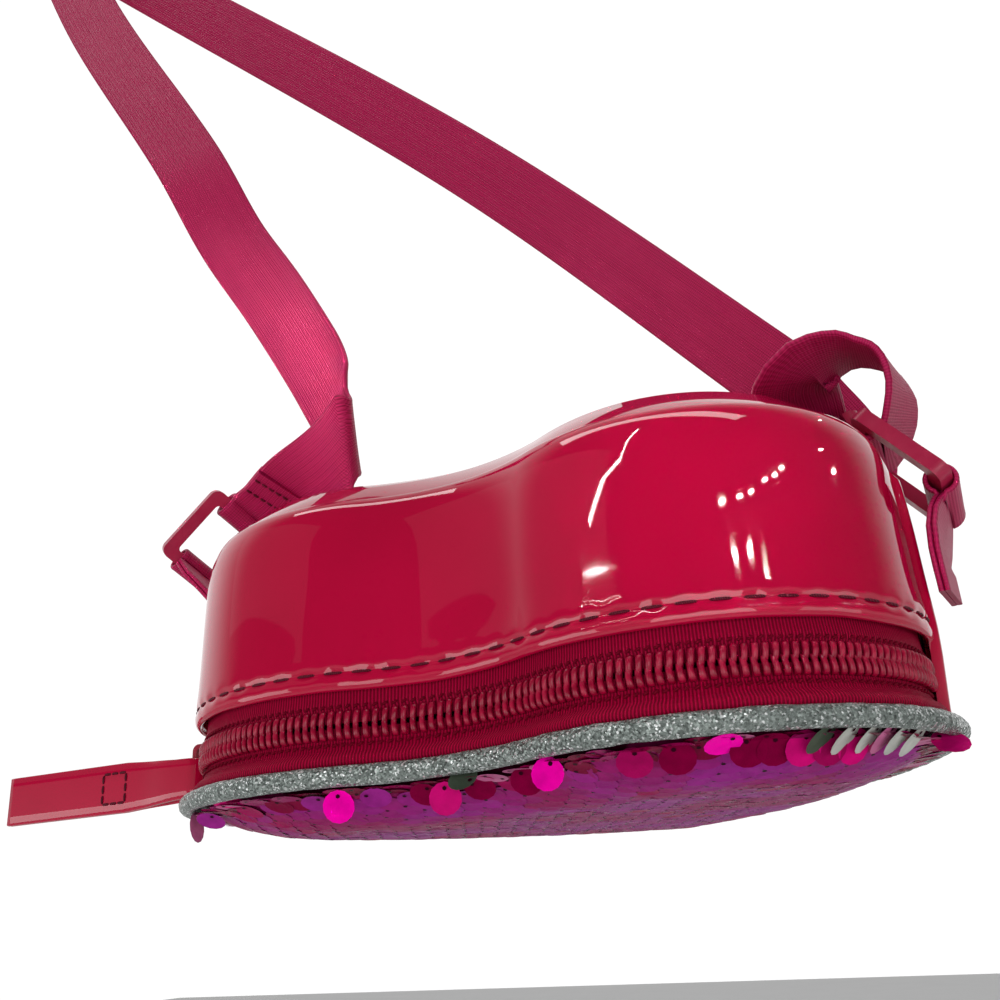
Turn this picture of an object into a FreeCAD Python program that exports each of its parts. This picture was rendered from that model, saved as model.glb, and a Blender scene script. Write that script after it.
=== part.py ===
"""Heart-shaped zip purse on a webbing strap, hanging from the crown of that strap.

Millimetres. X runs across the heart, Y from the notch to the tip, and Z up from the
sequinned front, which faces down, to the padded back. Sizes below are measured from the
centre of the heart at the level of its piping. Every piece is then moved so that the
origin is the crown of the strap, where the purse is held.
"""

import FreeCAD
import Part
import math
import os

# Heart outline, along the centre of the piping
lobe_centre_x = 36.0
lobe_radius = 44.0
notch_radius = 40.0
side_radius = 150.0
tip_y = 104.0
tip_radius = 9.0
least_tip_radius = 1.5

# Levels above the piping's centre
skirt_z = 2.2
chain_z = 9.6
hem_z = 16.0
shoulder_z = 51.0
back_z = 55.6

# Insets of the gusset's outer face from the outline, at those levels
skirt_inset = 2.1
hem_inset = 1.0
shoulder_inset = 2.3
back_inset = 4.6

# Sheet materials
vinyl = 1.2
lining = 0.6
hem_turn = 0.9
hem_turn_height = 6.0
board = 1.4
fit_gap = 0.3
overrun = 5.0
span = 600.0

# Side seams, where the lower gusset laps over the upper band and the zip's ends
seam_y = 9.0
lap_front_y = 4.0
lap_back_y = 14.0
lap_thick = 1.4
lap_top_drop = 2.0

# Front panel: a padded dome that folds on the chord between the zip's ends
front_dome = 7.0
front_rim_z = 0.4
sequin_skin = 1.8
fold_y = 3.0
fold_gap = 0.6
dome_insets = [2.1, 10.0, 27.0]
dome_shares = [0.0, 0.72, 1.0]

# Back panel: a padded dome on the gusset's top edge
back_dome = 6.4
back_dome_insets = [4.6, 12.0, 27.0]

# Piping and the sequins that hang beside it
piping_radius = 1.9
piping_sides = 8
sequin_radius = 2.5
sequin_thick = 0.25
sequin_pitch = 6.2
sequin_sides = 6
sequin_inset = 3.4
sequin_drop = 3.3
sequin_end_gap = 4.0

# Coil zip
zip_pitch = 2.5
tape_inset = 3.4
tape_thick = 0.7
tape_foot_inset = 1.95
tape_foot_z = 0.8
coil_height = 2.5
coil_thick = 1.5
coil_split = 1.0
coil_lift = 0.12
coil_width_share = 0.56
zip_end_y = 7.6
park_clear = 1.2
stop_thick = 1.2

# Zip slider, on the left lobe, and its pull
slider_length = 12.0
slider_height = 8.4
slider_plate = 1.0
slider_web = 0.4
slider_park_y = -6.0
bail_height = 3.6
bail_width = 2.6
bail_thick = 1.0
link_wire = 1.1
link_length = 9.5
link_side_clear = 0.9
link_corner = 1.6
pull_width = 12.0
pull_length = 58.0
pull_ply = 1.2
pull_eye = 3.6
pull_taper = 11.0
pull_turn = 6.0
pull_stitch_start = 20.0
pull_stitch_length = 7.0
pull_stitch_inset = 2.4

# Thread
stitch_rise = 3.2
stitch_pitch = 5.6
stitch_length = 3.9
stitch_width = 0.8
stitch_thick = 0.5
thread_lift = 0.25

# Webbing strap: its half routes as points and the directions across its width
strap_width = 20.0
strap_thick = 1.4
strap_step = 6.0
crown = (-183.0, -12.0, 350.0)
crown_side = (0.80, 0.17, 0.50)
crown_radius = 8.0
left_lower = [
    (-70.5, 4.0, 83.3),
    (-59.0, 1.0, 84.8),
    (-51.5, -1.5, 86.4),
    (-47.2, -1.8, 89.2),
    (-47.5, 1.2, 91.3),
    (-51.0, 4.2, 95.4),
    (-55.1, 4.5, 103.5),
    (-62.0, 2.4, 118.9),
    (-72.4, -2.2, 140.0),
]
left_lower_sides = [
    (-0.04, -0.87, 0.49),
    (-0.19, -0.58, 0.79),
    (-0.02, -0.42, 0.91),
    (0.12, -0.35, 0.93),
    (0.12, -0.35, 0.93),
    (0.12, -0.35, 0.93),
    (0.37, -0.21, 0.91),
    (0.60, -0.04, 0.80),
    (0.80, 0.16, 0.58),
]
left_lower_skew_shares = [0.0, 0.5, 1.0, 1.0, 1.0, 1.0, 1.0, 1.0, 0.6]
left_upper = [(-83.5, -8.5, 161.3), (-95.0, -17.0, 190.0), (-139.0, -20.0, 265.0)]
left_upper_sides = [(0.81, 0.47, 0.34), (0.81, 0.45, 0.37), (0.80, 0.30, 0.45)]
least_skew_share = 0.38
right_upper = [
    (-35.0, 36.0, 200.0),
    (47.5, 50.0, 102.3),
    (58.0, 62.0, 89.0),
    (62.0, 73.5, 80.5),
    (60.6, 73.0, 73.6),
]
right_upper_sides = [
    (0.79, -0.12, 0.60),
    (0.79, -0.12, 0.60),
    (0.82, -0.05, 0.57),
    (0.88, 0.0, 0.45),
    (0.94, 0.05, 0.33),
]
slide_place = (58.0, 46.0, 71.0)
slide_side = (0.95, 0.06, 0.30)
slide_lie = (0.06, 1.0, 0.0)
slide_straight_shares = [3.0, 2.0, 1.0, 0.0, -1.0, -2.0, -3.0]
slide_straight = 6.0
return_points = [(58.2, 22.6, 70.4), (61.6, 19.6, 68.6)]
return_sides = [(0.80, 0.58, 0.12), (0.40, 0.91, 0.0)]
loop_points = [
    (58.2, 31.0, 78.0),
    (59.6, 20.0, 78.6),
    (62.6, 14.0, 79.2),
    (67.1, 13.6, 81.0),
    (73.4, 14.6, 82.0),
    (79.6, 15.6, 78.4),
    (81.5, 16.6, 72.0),
    (80.2, 18.4, 66.2),
]
loop_sides = [
    (0.95, 0.10, 0.27),
    (0.92, 0.32, 0.18),
    (0.82, 0.56, 0.05),
    (0.55, 0.83, 0.02),
    (0.24, 0.97, 0.03),
    (0.12, 0.99, 0.0),
    (0.10, 0.98, -0.10),
    (0.02, 0.98, -0.14),
]
crown_angles = [-75.0, 0.0, 75.0]
fold_stitch_shares = [0.3, 0.75]

# Moulded rings and the tabs that hold them
ring_bar = 3.2
ring_thick = 3.0
ring_side_clear = 1.4
ring_reach = 19.0
ring_corner = 2.4
bar_clear = 0.15
tab_ply = 1.0
tab_width = 19.0
tab_lead = 4.0
strap_lead = 5.0
turn_lead = 3.0
tab_foot = 9.0
left_bar_out = 18.0
left_bar_level = (2.0, 63.5)
left_bar_side = (0.25, 0.83, -0.50)
left_bar_reach = (0.66, 0.253, 0.75)
left_root_out = 1.3
left_root_level = (5.0, 45.0)
right_bar_out = 4.9
right_bar_level = (19.5, 47.2)
right_bar_side = (-0.08, 0.98, -0.10)
right_bar_reach = (-0.62, 0.0, 0.78)
right_root_out = 2.6
right_root_level = (12.0, 34.0)

# Strap slide
slide_side_clear = 0.6
slide_rail = 3.0
slide_bar = 4.0
slide_long = 22.0
slide_deep = 2.2

UP = FreeCAD.Vector(0, 0, 1)
ALONG_X = FreeCAD.Vector(1, 0, 0)
ALONG_Y = FreeCAD.Vector(0, 1, 0)
hold = FreeCAD.Vector(*crown)


def emit(name, shape):
    """Moves a piece to the strap's crown and writes it as one node."""
    moved = shape.copy()
    moved.translate(hold.negative())
    moved.exportStep(os.path.join("parts", name + ".step"))


def unit(vector):
    """A vector's direction."""
    direction = FreeCAD.Vector(vector)
    direction.normalize()
    return direction


def spin(angle):
    """The direction in the heart's plane at an angle from X."""
    return FreeCAD.Vector(math.cos(angle), math.sin(angle), 0)


def bearing(start, end):
    """The angle from X of the way from one point to another."""
    return math.atan2(end.y - start.y, end.x - start.x)


# Centres of the right half's arcs: each arc runs smoothly into the next.
lobe_centre = FreeCAD.Vector(lobe_centre_x, 0, 0)
notch_centre = FreeCAD.Vector(0, -math.sqrt((lobe_radius + notch_radius) ** 2 - lobe_centre_x ** 2), 0)
tip_centre = FreeCAD.Vector(0, tip_y - tip_radius, 0)


def find_side_centre():
    """Centre of the long side arc, which holds the lobe and the tip inside it."""
    across = tip_centre - lobe_centre
    lobe_reach = side_radius - lobe_radius
    tip_reach = side_radius - tip_radius
    along = (lobe_reach ** 2 - tip_reach ** 2 + across.Length ** 2) / (2 * across.Length)
    aside = math.sqrt(lobe_reach ** 2 - along ** 2)
    way = unit(across)
    return lobe_centre + way * along + FreeCAD.Vector(-way.y, way.x, 0) * aside


side_centre = find_side_centre()
notch_angle = bearing(lobe_centre, notch_centre)
side_angle = bearing(side_centre, lobe_centre)


def heart_wire(inset, z):
    """The closed heart outline, moved inwards by inset, at level z."""
    tip_round = max(tip_radius - inset, least_tip_radius)
    tip_reach = side_radius - inset - tip_round
    tip_mid = FreeCAD.Vector(0, side_centre.y + math.sqrt(tip_reach ** 2 - side_centre.x ** 2), 0)
    tip_angle = bearing(side_centre, tip_mid)
    lobe_round = lobe_radius - inset
    side_round = side_radius - inset
    notch_round = notch_radius + inset
    notch_point = lobe_centre + spin(notch_angle) * lobe_round
    lobe_mid = lobe_centre + spin((notch_angle + side_angle) / 2) * lobe_round
    side_point = lobe_centre + spin(side_angle) * lobe_round
    side_mid = side_centre + spin((side_angle + tip_angle) / 2) * side_round
    tip_point = side_centre + spin(tip_angle) * side_round
    notch_mid = notch_centre + FreeCAD.Vector(0, notch_round, 0)
    tip_end = tip_mid + FreeCAD.Vector(0, tip_round, 0)
    right = [notch_point, lobe_mid, side_point, side_mid, tip_point]
    left = [FreeCAD.Vector(-p.x, p.y, 0) for p in right]
    runs = [
        (left[0], notch_mid, right[0]),
        (right[0], right[1], right[2]),
        (right[2], right[3], right[4]),
        (right[4], tip_end, left[4]),
        (left[4], left[3], left[2]),
        (left[2], left[1], left[0]),
    ]
    wire = Part.Wire([Part.Arc(*run).toShape() for run in runs])
    wire.translate(UP * z)
    return wire


def prism(inset, low, high):
    """A flat heart plate."""
    return Part.Face(heart_wire(inset, low)).extrude(UP * (high - low))


def dome_loft(levels):
    """A solid through heart outlines given as (inset, z)."""
    return Part.makeLoft([heart_wire(inset, z) for inset, z in levels], True, True)


def swept(profile):
    """Sweeps a profile of edges round the heart; profile gives its face at a radius and a sign.

    Each arc of the outline carries its own sector, turned about that arc's centre.
    """
    tip_angle = bearing(side_centre, tip_centre)
    right_angle = math.pi / 2
    mirrored = math.pi - side_angle
    arcs = [
        (notch_centre, notch_radius, -1, notch_angle + math.pi, -notch_angle),
        (lobe_centre, lobe_radius, 1, notch_angle, side_angle),
        (side_centre, side_radius, 1, side_angle, tip_angle),
        (tip_centre, tip_radius, 1, tip_angle, 2 * right_angle - tip_angle),
        (mirror(side_centre), side_radius, 1, 2 * right_angle - tip_angle, mirrored),
        (mirror(lobe_centre), lobe_radius, 1, mirrored, math.pi - notch_angle),
    ]
    sectors = []
    for centre, radius, sign, start, end in arcs:
        face = profile(radius, sign)
        face.rotate(FreeCAD.Vector(0, 0, 0), UP, math.degrees(start))
        sector = face.revolve(FreeCAD.Vector(0, 0, 0), UP, math.degrees(end - start))
        sector.translate(centre)
        sectors.append(sector)
    return sectors[0].fuse(sectors[1:]).removeSplitter()


def mirror(point):
    """The matching point on the left half."""
    return FreeCAD.Vector(-point.x, point.y, point.z)


def wall(levels, thick):
    """A heart-shaped wall of even thickness, its outer face through the levels."""
    corners = levels + [(inset + thick, z) for inset, z in reversed(levels)]

    def profile(radius, sign):
        points = [FreeCAD.Vector(radius - sign * inset, 0, z) for inset, z in corners]
        return Part.Face(Part.makePolygon(points + points[:1]))

    return swept(profile)


def slab(low, high):
    """Everything between two places along Y."""
    corner = FreeCAD.Vector(-span / 2, low, -span / 2)
    return Part.makeBox(span, high - low, span, corner)


def side_slab(low, high, left):
    """Everything between two places along Y, on one side of the heart."""
    corner = FreeCAD.Vector(-span / 2 if left else 0, low, -span / 2)
    return Part.makeBox(span / 2, high - low, span, corner)


def ahead(shape, place):
    """The part of a shape on the notch's side of a place along Y."""
    return shape.common(slab(place - span / 2, place))


def behind(shape, place):
    """The part of a shape on the tip's side of a place along Y."""
    return shape.common(slab(place, place + span / 2))


# Gusset

band_levels = [(hem_inset, hem_z), (shoulder_inset, shoulder_z), (back_inset, back_z)]
full_levels = [(skirt_inset, skirt_z)] + band_levels


def gusset_inset(level):
    """Inset of the gusset's outer face at a level."""
    for (low_inset, low), (high_inset, high) in zip(full_levels, full_levels[1:]):
        if low <= level <= high:
            return low_inset + (high_inset - low_inset) * (level - low) / (high - low)
    raise ValueError("the level is off the gusset")


def along_gusset(depth, low, high):
    """Levels between two heights that keep to the gusset's face, at a depth behind it."""
    stops = [low] + [z for inset, z in full_levels if low < z < high] + [high]
    return [(gusset_inset(z) + depth, z) for z in stops]


def make_gusset():
    """Upper band with its turned hem, lower gusset with its lapped ends, and linings."""
    emit("gusset_band", ahead(wall(band_levels, vinyl), seam_y))
    turn_top = hem_z + hem_turn_height
    emit("gusset_hem_turn", ahead(wall(along_gusset(vinyl, hem_z, turn_top), hem_turn), seam_y))
    emit("gusset_lower", behind(wall(full_levels, vinyl), seam_y))
    lap = wall(along_gusset(-lap_thick, skirt_z, shoulder_z - lap_top_drop), lap_thick)
    emit("seam_lap_left", lap.common(side_slab(lap_front_y, lap_back_y, True)))
    emit("seam_lap_right", lap.common(side_slab(lap_front_y, lap_back_y, False)))
    emit("lining_band", ahead(wall(along_gusset(vinyl, turn_top, shoulder_z), lining), seam_y))
    emit("lining_lower", behind(wall(along_gusset(vinyl, skirt_z, shoulder_z), lining), seam_y))


# Back panel

def make_back():
    """Vinyl back over foam, on a stiff board faced with lining."""
    levels = [(i, back_z + back_dome * s) for i, s in zip(back_dome_insets, dome_shares)]
    dome = dome_loft(levels)
    lowered = dome.copy()
    lowered.translate(UP * -vinyl)
    emit("back_panel", dome.cut(lowered))
    emit("back_foam", dome.common(lowered))
    inset = back_inset + vinyl
    emit("back_board", prism(inset, back_z - board, back_z))
    emit("back_lining", prism(inset, back_z - board - lining, back_z - board))


# Front panel, in two parts that meet at the fold

front_levels = [(i, front_rim_z - front_dome * s) for i, s in zip(dome_insets, dome_shares)]
fold_z = front_rim_z - front_dome - fit_gap
flap_edge = fold_y - fold_gap / 2
fixed_edge = fold_y + fold_gap / 2


def make_front():
    """Sequinned skin, foam and lining of the front panel."""
    dome = dome_loft(front_levels)
    raised = dome.copy()
    raised.translate(UP * sequin_skin)
    pieces = {
        "sequin_panel": dome.cut(raised),
        "front_foam": dome.common(raised),
        "front_lining": prism(dome_insets[0] + lining, front_rim_z, front_rim_z + lining),
    }
    for name, solid in pieces.items():
        emit(name + "_flap", ahead(solid, flap_edge))
        emit(name + "_fixed", behind(solid, fixed_edge))


def make_piping():
    """Round piping all the way round the front panel."""

    def profile(radius, sign):
        points = []
        for index in range(piping_sides):
            turn = 2 * math.pi * (index + 1 / 2) / piping_sides
            across = piping_radius * math.cos(turn)
            points.append(FreeCAD.Vector(radius + across, 0, piping_radius * math.sin(turn)))
        return Part.Face(Part.makePolygon(points + points[:1]))

    tube = swept(profile)
    emit("piping_flap", ahead(tube, flap_edge))
    emit("piping_fixed", behind(tube, fixed_edge))


def along_heart(inset, pitch):
    """Places at an even pitch along the outline, each with its outward direction."""
    wire = heart_wire(inset, 0)
    count = int(wire.Length / pitch)
    places = wire.discretize(Number=count + 1)[:-1]
    spots = []
    for index, place in enumerate(places):
        ahead_way = places[(index + 1) % count] - places[index - 1]
        spots.append((place, unit(ahead_way.cross(UP)), unit(ahead_way)))
    return spots


def framed(shape, place, x_way, y_way):
    """A shape made at the origin, set at a place with its X and Y along two directions."""
    turn = FreeCAD.Rotation(x_way, y_way, x_way.cross(y_way), "XYZ")
    put = shape.copy()
    put.Placement = FreeCAD.Placement(place, turn)
    return put


def sequin():
    """One round sequin, standing upright, hung from the edge of its disc."""
    turn = 2 * math.pi / sequin_sides
    rim = [spin(turn * k) * sequin_radius for k in range(sequin_sides)]
    face = Part.Face(Part.makePolygon(rim + rim[:1]))
    return face.extrude(UP * sequin_thick)


def make_edge_sequins():
    """The row of loose sequins that hangs just inside the piping."""
    disc = sequin()
    flap = []
    fixed = []
    for place, outward, way in along_heart(sequin_inset, sequin_pitch):
        spot = place - UP * sequin_drop
        hung = framed(disc, spot, way, UP)
        if place.y < fold_y - sequin_end_gap:
            flap.append(hung)
        elif place.y > fold_y + sequin_end_gap:
            fixed.append(hung)
    emit("edge_sequins_flap", Part.makeCompound(flap))
    emit("edge_sequins_fixed", Part.makeCompound(fixed))


# Coil zip

slider_centre = FreeCAD.Vector(-lobe_centre_x, 0, 0)
chain_radius = lobe_radius - tape_inset
slider_angle = math.asin(-slider_park_y / chain_radius)
parked_edge = slider_park_y - slider_length / 2 - park_clear


def zip_bar():
    """One turn of the coil: a short bar across the chain."""
    wide = zip_pitch * coil_width_share
    return Part.makeBox(wide, coil_thick, coil_height, FreeCAD.Vector(-wide / 2, coil_lift, 0))


def coil_row(low, shift_share, wanted):
    """A row of coil bars along the zip, standing on the tape, where wanted says so."""
    bar = zip_bar()
    row = []
    spots = along_heart(tape_inset, zip_pitch)
    for place, outward, way in spots:
        spot = place + way * (zip_pitch * shift_share)
        if wanted(spot):
            row.append(framed(bar, spot + UP * low, outward.cross(UP), outward))
    return Part.makeCompound(row)


def on_flap(spot):
    """Whether a place on the front half of the zip swings with the flap."""
    return spot.y < (parked_edge if spot.x < 0 else flap_edge) - zip_pitch / 2


def on_park(spot):
    """Whether a place on the front half of the zip lies under the parked slider."""
    return spot.x < 0 and parked_edge + zip_pitch / 2 < spot.y < zip_end_y


def make_zip():
    """Two tapes, two rows of coil, and the stops behind the slider."""
    half = coil_split / 2
    back_levels = [(tape_inset, chain_z + half), (tape_inset, hem_z + hem_turn_height)]
    emit("zip_tape_back", ahead(wall(back_levels, tape_thick), seam_y))
    foot = [(tape_foot_inset, tape_foot_z + front_rim_z), (tape_inset, chain_z - half - coil_height)]
    front = wall(foot + [(tape_inset, chain_z - half)], tape_thick)
    right_part = front.common(side_slab(-span / 2, flap_edge, False))
    left_part = front.common(side_slab(-span / 2, parked_edge - fold_gap, True))
    emit("zip_tape_front", right_part.fuse(left_part).removeSplitter())
    low = chain_z - half - coil_height - stop_thick
    park_levels = [(tape_inset, low), (tape_inset, chain_z - half)]
    park = wall(park_levels, tape_thick)
    emit("zip_tape_park", park.common(side_slab(parked_edge, seam_y, True)))
    emit("zip_coil_back", coil_row(chain_z + half, 0, lambda spot: spot.y < zip_end_y))
    low = chain_z - half - coil_height
    emit("zip_coil_front", coil_row(low, 1 / 2, on_flap))
    emit("zip_coil_park", coil_row(low, 1 / 2, on_park))


def ring_sector(inner, outer, low, high, half_angle):
    """A block bent round the left lobe's axis, centred on the far left of the lobe."""
    corners = [(inner, low), (outer, low), (outer, high), (inner, high)]
    points = [FreeCAD.Vector(-r, 0, z) for r, z in corners]
    face = Part.Face(Part.makePolygon(points + points[:1]))
    face.rotate(FreeCAD.Vector(0, 0, 0), UP, -math.degrees(half_angle))
    return face.revolve(FreeCAD.Vector(0, 0, 0), UP, 2 * math.degrees(half_angle))


def parked(shape):
    """Moves a piece made at the far left of the lobe to where the slider is parked."""
    put = shape.copy()
    put.rotate(FreeCAD.Vector(0, 0, 0), UP, math.degrees(slider_angle))
    put.translate(slider_centre)
    return put


coil_face = chain_radius + coil_lift + coil_thick
outer_plate = coil_face + fit_gap
bail_foot = outer_plate + slider_plate
link_place = bail_foot + bail_height - bail_thick - link_wire / 2 - fit_gap


def make_slider():
    """Two bent plates joined by a thin web between the rows, with a bail on the outside."""
    half = slider_length / 2 / chain_radius
    low = chain_z - slider_height / 2
    high = chain_z + slider_height / 2
    inner_face = chain_radius - tape_thick - fit_gap
    outside = ring_sector(outer_plate, bail_foot, low, high, half)
    inside = ring_sector(inner_face - slider_plate, inner_face, low, high, half)
    web = ring_sector(inner_face, outer_plate, chain_z - slider_web / 2, chain_z + slider_web / 2, half)
    emit("zip_slider", parked(outside.fuse([inside, web])))
    wide = bail_width / 2
    top = bail_foot + bail_height
    arch = ring_sector(bail_foot, top, chain_z - wide, chain_z + wide, half / 2)
    window_half = half / 2 - bail_thick / bail_foot
    window = ring_sector(bail_foot, top - bail_thick, chain_z - wide, chain_z + wide, window_half)
    emit("zip_bail", parked(arch.cut(window)))


def make_pull():
    """Wire link through the bail, and a vinyl strip doubled round the link."""
    reach = link_length - link_wire
    link_width = pull_width + 2 * (link_wire + link_side_clear)
    outer = rounded_plate(link_length, link_width, link_corner, link_wire)
    inner = rounded_plate(link_length - 2 * link_wire, link_width - 2 * link_wire, link_corner / 2, link_wire)
    middle = FreeCAD.Vector(-link_place - reach / 2, 0, chain_z)
    link = framed(outer.cut(inner), middle, ALONG_X, UP)
    eye_x = -link_place - reach
    strip = pull_strip(eye_x)
    turn_at = FreeCAD.Vector(-link_place, 0, 0)
    stitches = pull_stitches(eye_x)
    for name, shape in (("pull_link", link), ("pull_strip", strip), ("pull_stitch", stitches)):
        swung = shape.copy()
        swung.rotate(turn_at, UP, -math.degrees(slider_angle) + pull_turn)
        emit(name, parked(swung))


def pull_strip(eye_x):
    """A doubled strip whose eye goes round the link's far bar, square at its end."""
    round_in = pull_eye / 2
    round_out = round_in + pull_ply
    end_x = eye_x - pull_length
    join_x = eye_x - pull_taper
    outer = [(end_x, -pull_ply), (join_x, -pull_ply), (eye_x, -round_out)]
    outline = [FreeCAD.Vector(x, y, 0) for x, y in outer]
    back = [FreeCAD.Vector(p.x, -p.y, 0) for p in reversed(outline)]
    nose = FreeCAD.Vector(eye_x + round_out, 0, 0)
    edges = [Part.makeLine(outline[0], outline[1]), Part.makeLine(outline[1], outline[2])]
    edges.append(Part.Arc(outline[2], nose, back[0]).toShape())
    edges += [Part.makeLine(back[0], back[1]), Part.makeLine(back[1], back[2])]
    edges.append(Part.makeLine(back[2], outline[0]))
    body = Part.Face(Part.Wire(edges)).extrude(UP * pull_width)
    inner = FreeCAD.Vector(eye_x, -round_in, 0)
    inner_back = FreeCAD.Vector(eye_x, round_in, 0)
    crotch = FreeCAD.Vector(join_x, 0, 0)
    inner_nose = FreeCAD.Vector(eye_x + round_in, 0, 0)
    eye = [Part.makeLine(crotch, inner), Part.Arc(inner, inner_nose, inner_back).toShape()]
    eye.append(Part.makeLine(inner_back, crotch))
    hole = Part.Face(Part.Wire(eye)).extrude(UP * pull_width)
    strip = body.cut(hole)
    strip.translate(UP * (chain_z - pull_width / 2))
    return strip


def thread(start, end, face_way):
    """One stitch: a short flat bar just clear of a face."""
    way = unit(end - start)
    across = unit(face_way.cross(way))
    length = (end - start).Length
    corner = FreeCAD.Vector(0, -stitch_width / 2, thread_lift)
    bar = Part.makeBox(length, stitch_width, stitch_thick, corner)
    return framed(bar, start, way, across)


def stitched(start, end, face_way):
    """A straight row of stitches between two points."""
    count = max(1, round((end - start).Length / stitch_pitch))
    step = (end - start) * (1 / count)
    spare = (1 - stitch_length / stitch_pitch) / 2
    rows = []
    for k in range(count):
        rows.append(thread(start + step * (k + spare), start + step * (k + 1 - spare), face_way))
    return rows


def pull_stitches(eye_x):
    """The square of stitching through the doubled strip, on both faces."""
    near = eye_x - pull_stitch_start
    far = near - pull_stitch_length
    tall = pull_width / 2 - pull_stitch_inset
    rows = []
    for side in (-1, 1):
        face = FreeCAD.Vector(0, side, 0)
        corners = [(near, -tall), (near, tall), (far, tall), (far, -tall)]
        points = [FreeCAD.Vector(x, side * pull_ply, chain_z + z) for x, z in corners]
        for start, end in zip(points, points[1:] + points[:1]):
            rows += stitched(start, end, face)
    return Part.makeCompound(rows)


def make_topstitch():
    """The row of stitching above the hem."""
    level = hem_z + stitch_rise
    rows = []
    for place, outward, way in along_heart(gusset_inset(level), stitch_pitch):
        spot = place + UP * level
        if place.y < lap_front_y - stitch_pitch:
            half = way * (stitch_length / 2)
            rows.append(thread(spot - half, spot + half, outward))
    emit("hem_topstitch", Part.makeCompound(rows))


# Strap, rings and tabs

def eased(values, knots, index, share):
    """A point of the smooth curve through values, at a share of the way from one to the next."""
    slopes = []
    for place in (index, index + 1):
        low = max(place - 1, 0)
        high = min(place + 1, len(values) - 1)
        slopes.append((values[high] - values[low]) * (1 / (knots[high] - knots[low])))
    width = knots[index + 1] - knots[index]
    near = values[index] * ((1 + 2 * share) * (1 - share) ** 2)
    far = values[index + 1] * (share ** 2 * (3 - 2 * share))
    leave = slopes[0] * (width * share * (1 - share) ** 2)
    arrive = slopes[1] * (width * share ** 2 * (share - 1))
    return near + far + leave + arrive


def stations(points, sides, skews=None):
    """Frames along a band through points, and where each point falls among them.

    Each frame is a place with the ways across the band, along it and out of its face.
    Where a skew share is given the band keeps its own slant across, as in a diagonal fold.
    """
    turns = [unit(FreeCAD.Vector(*side)) for side in sides]
    corners = [FreeCAD.Vector(*point) for point in points]
    knots = [0.0]
    for start, end in zip(corners, corners[1:]):
        knots.append(knots[-1] + math.sqrt((end - start).Length))
    places = []
    across_ways = []
    slants = []
    marks = []
    skews = skews or [0.0] * len(corners)
    for index in range(len(corners) - 1):
        marks.append(len(places))
        count = max(1, round((corners[index + 1] - corners[index]).Length / strap_step))
        for part in range(count):
            places.append(eased(corners, knots, index, part / count))
            across_ways.append(eased(turns, knots, index, part / count))
            slants.append(skews[index] + (skews[index + 1] - skews[index]) * part / count)
    marks.append(len(places))
    places.append(corners[-1])
    across_ways.append(turns[-1])
    slants.append(skews[-1])
    frames = []
    for index, centre in enumerate(places):
        before = places[max(index - 1, 0)]
        after = places[min(index + 1, len(places) - 1)]
        way = unit(after - before)
        across = unit(across_ways[index])
        across = unit(across - way * (across.dot(way) * (1 - slants[index])))
        square_share = max(math.sqrt(1 - across.dot(way) ** 2), least_skew_share)
        frames.append((centre, across * (1 / square_share), way, unit(way.cross(across))))
    return frames, marks


def ribbon(frames, width, thick):
    """A flat band through frames."""
    sections = []
    for centre, across, way, face in frames:
        corners = []
        for side, lift in ((-1, -1), (1, -1), (1, 1), (-1, 1)):
            corners.append(centre + across * (side * width / 2) + face * (lift * thick / 2))
        sections.append(Part.makePolygon(corners + corners[:1]))
    return Part.makeLoft(sections, True, True)


def as_tuple(vector):
    """A vector's three numbers."""
    return (vector.x, vector.y, vector.z)


class Ring:
    """A moulded rectangular ring: one bar in its tab and the other in the strap."""

    def __init__(self, bar, side, reach):
        self.tab_bar = FreeCAD.Vector(*bar)
        self.side = unit(FreeCAD.Vector(*side))
        reach_way = FreeCAD.Vector(*reach)
        self.reach = unit(reach_way - self.side * reach_way.dot(self.side))
        self.face = self.side.cross(self.reach)
        self.strap_bar = self.tab_bar + self.reach * ring_reach

    def solid(self):
        """Rounded frame with a window between its two bars."""
        window = strap_width + 2 * ring_side_clear
        wide = window + 2 * ring_bar
        tall = ring_reach + ring_bar
        outer = rounded_plate(wide, tall, ring_corner, ring_thick)
        inner = rounded_plate(window, tall - 2 * ring_bar, ring_corner / 2, ring_thick)
        middle = self.tab_bar + self.reach * (ring_reach / 2)
        return framed(outer.cut(inner), middle, self.side, self.reach)

    def sleeve(self, centre, ply, width):
        """A loop of web round one bar."""
        bore = math.hypot(ring_bar, ring_thick) / 2 + bar_clear
        start = centre - self.side * (width / 2)
        tube = Part.makeCylinder(bore + ply, width, start, self.side)
        return tube.cut(Part.makeCylinder(bore, width, start, self.side))

    def core(self, centre, ply):
        """All that a loop of web closes in, with the loop itself."""
        radius = math.hypot(ring_bar, ring_thick) / 2 + bar_clear + ply
        return Part.makeCylinder(radius, span, centre - self.side * (span / 2), self.side)

    def sleeve_radius(self, ply):
        """Radius to the middle of a sleeve's wall."""
        return math.hypot(ring_bar, ring_thick) / 2 + bar_clear + ply / 2


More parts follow.
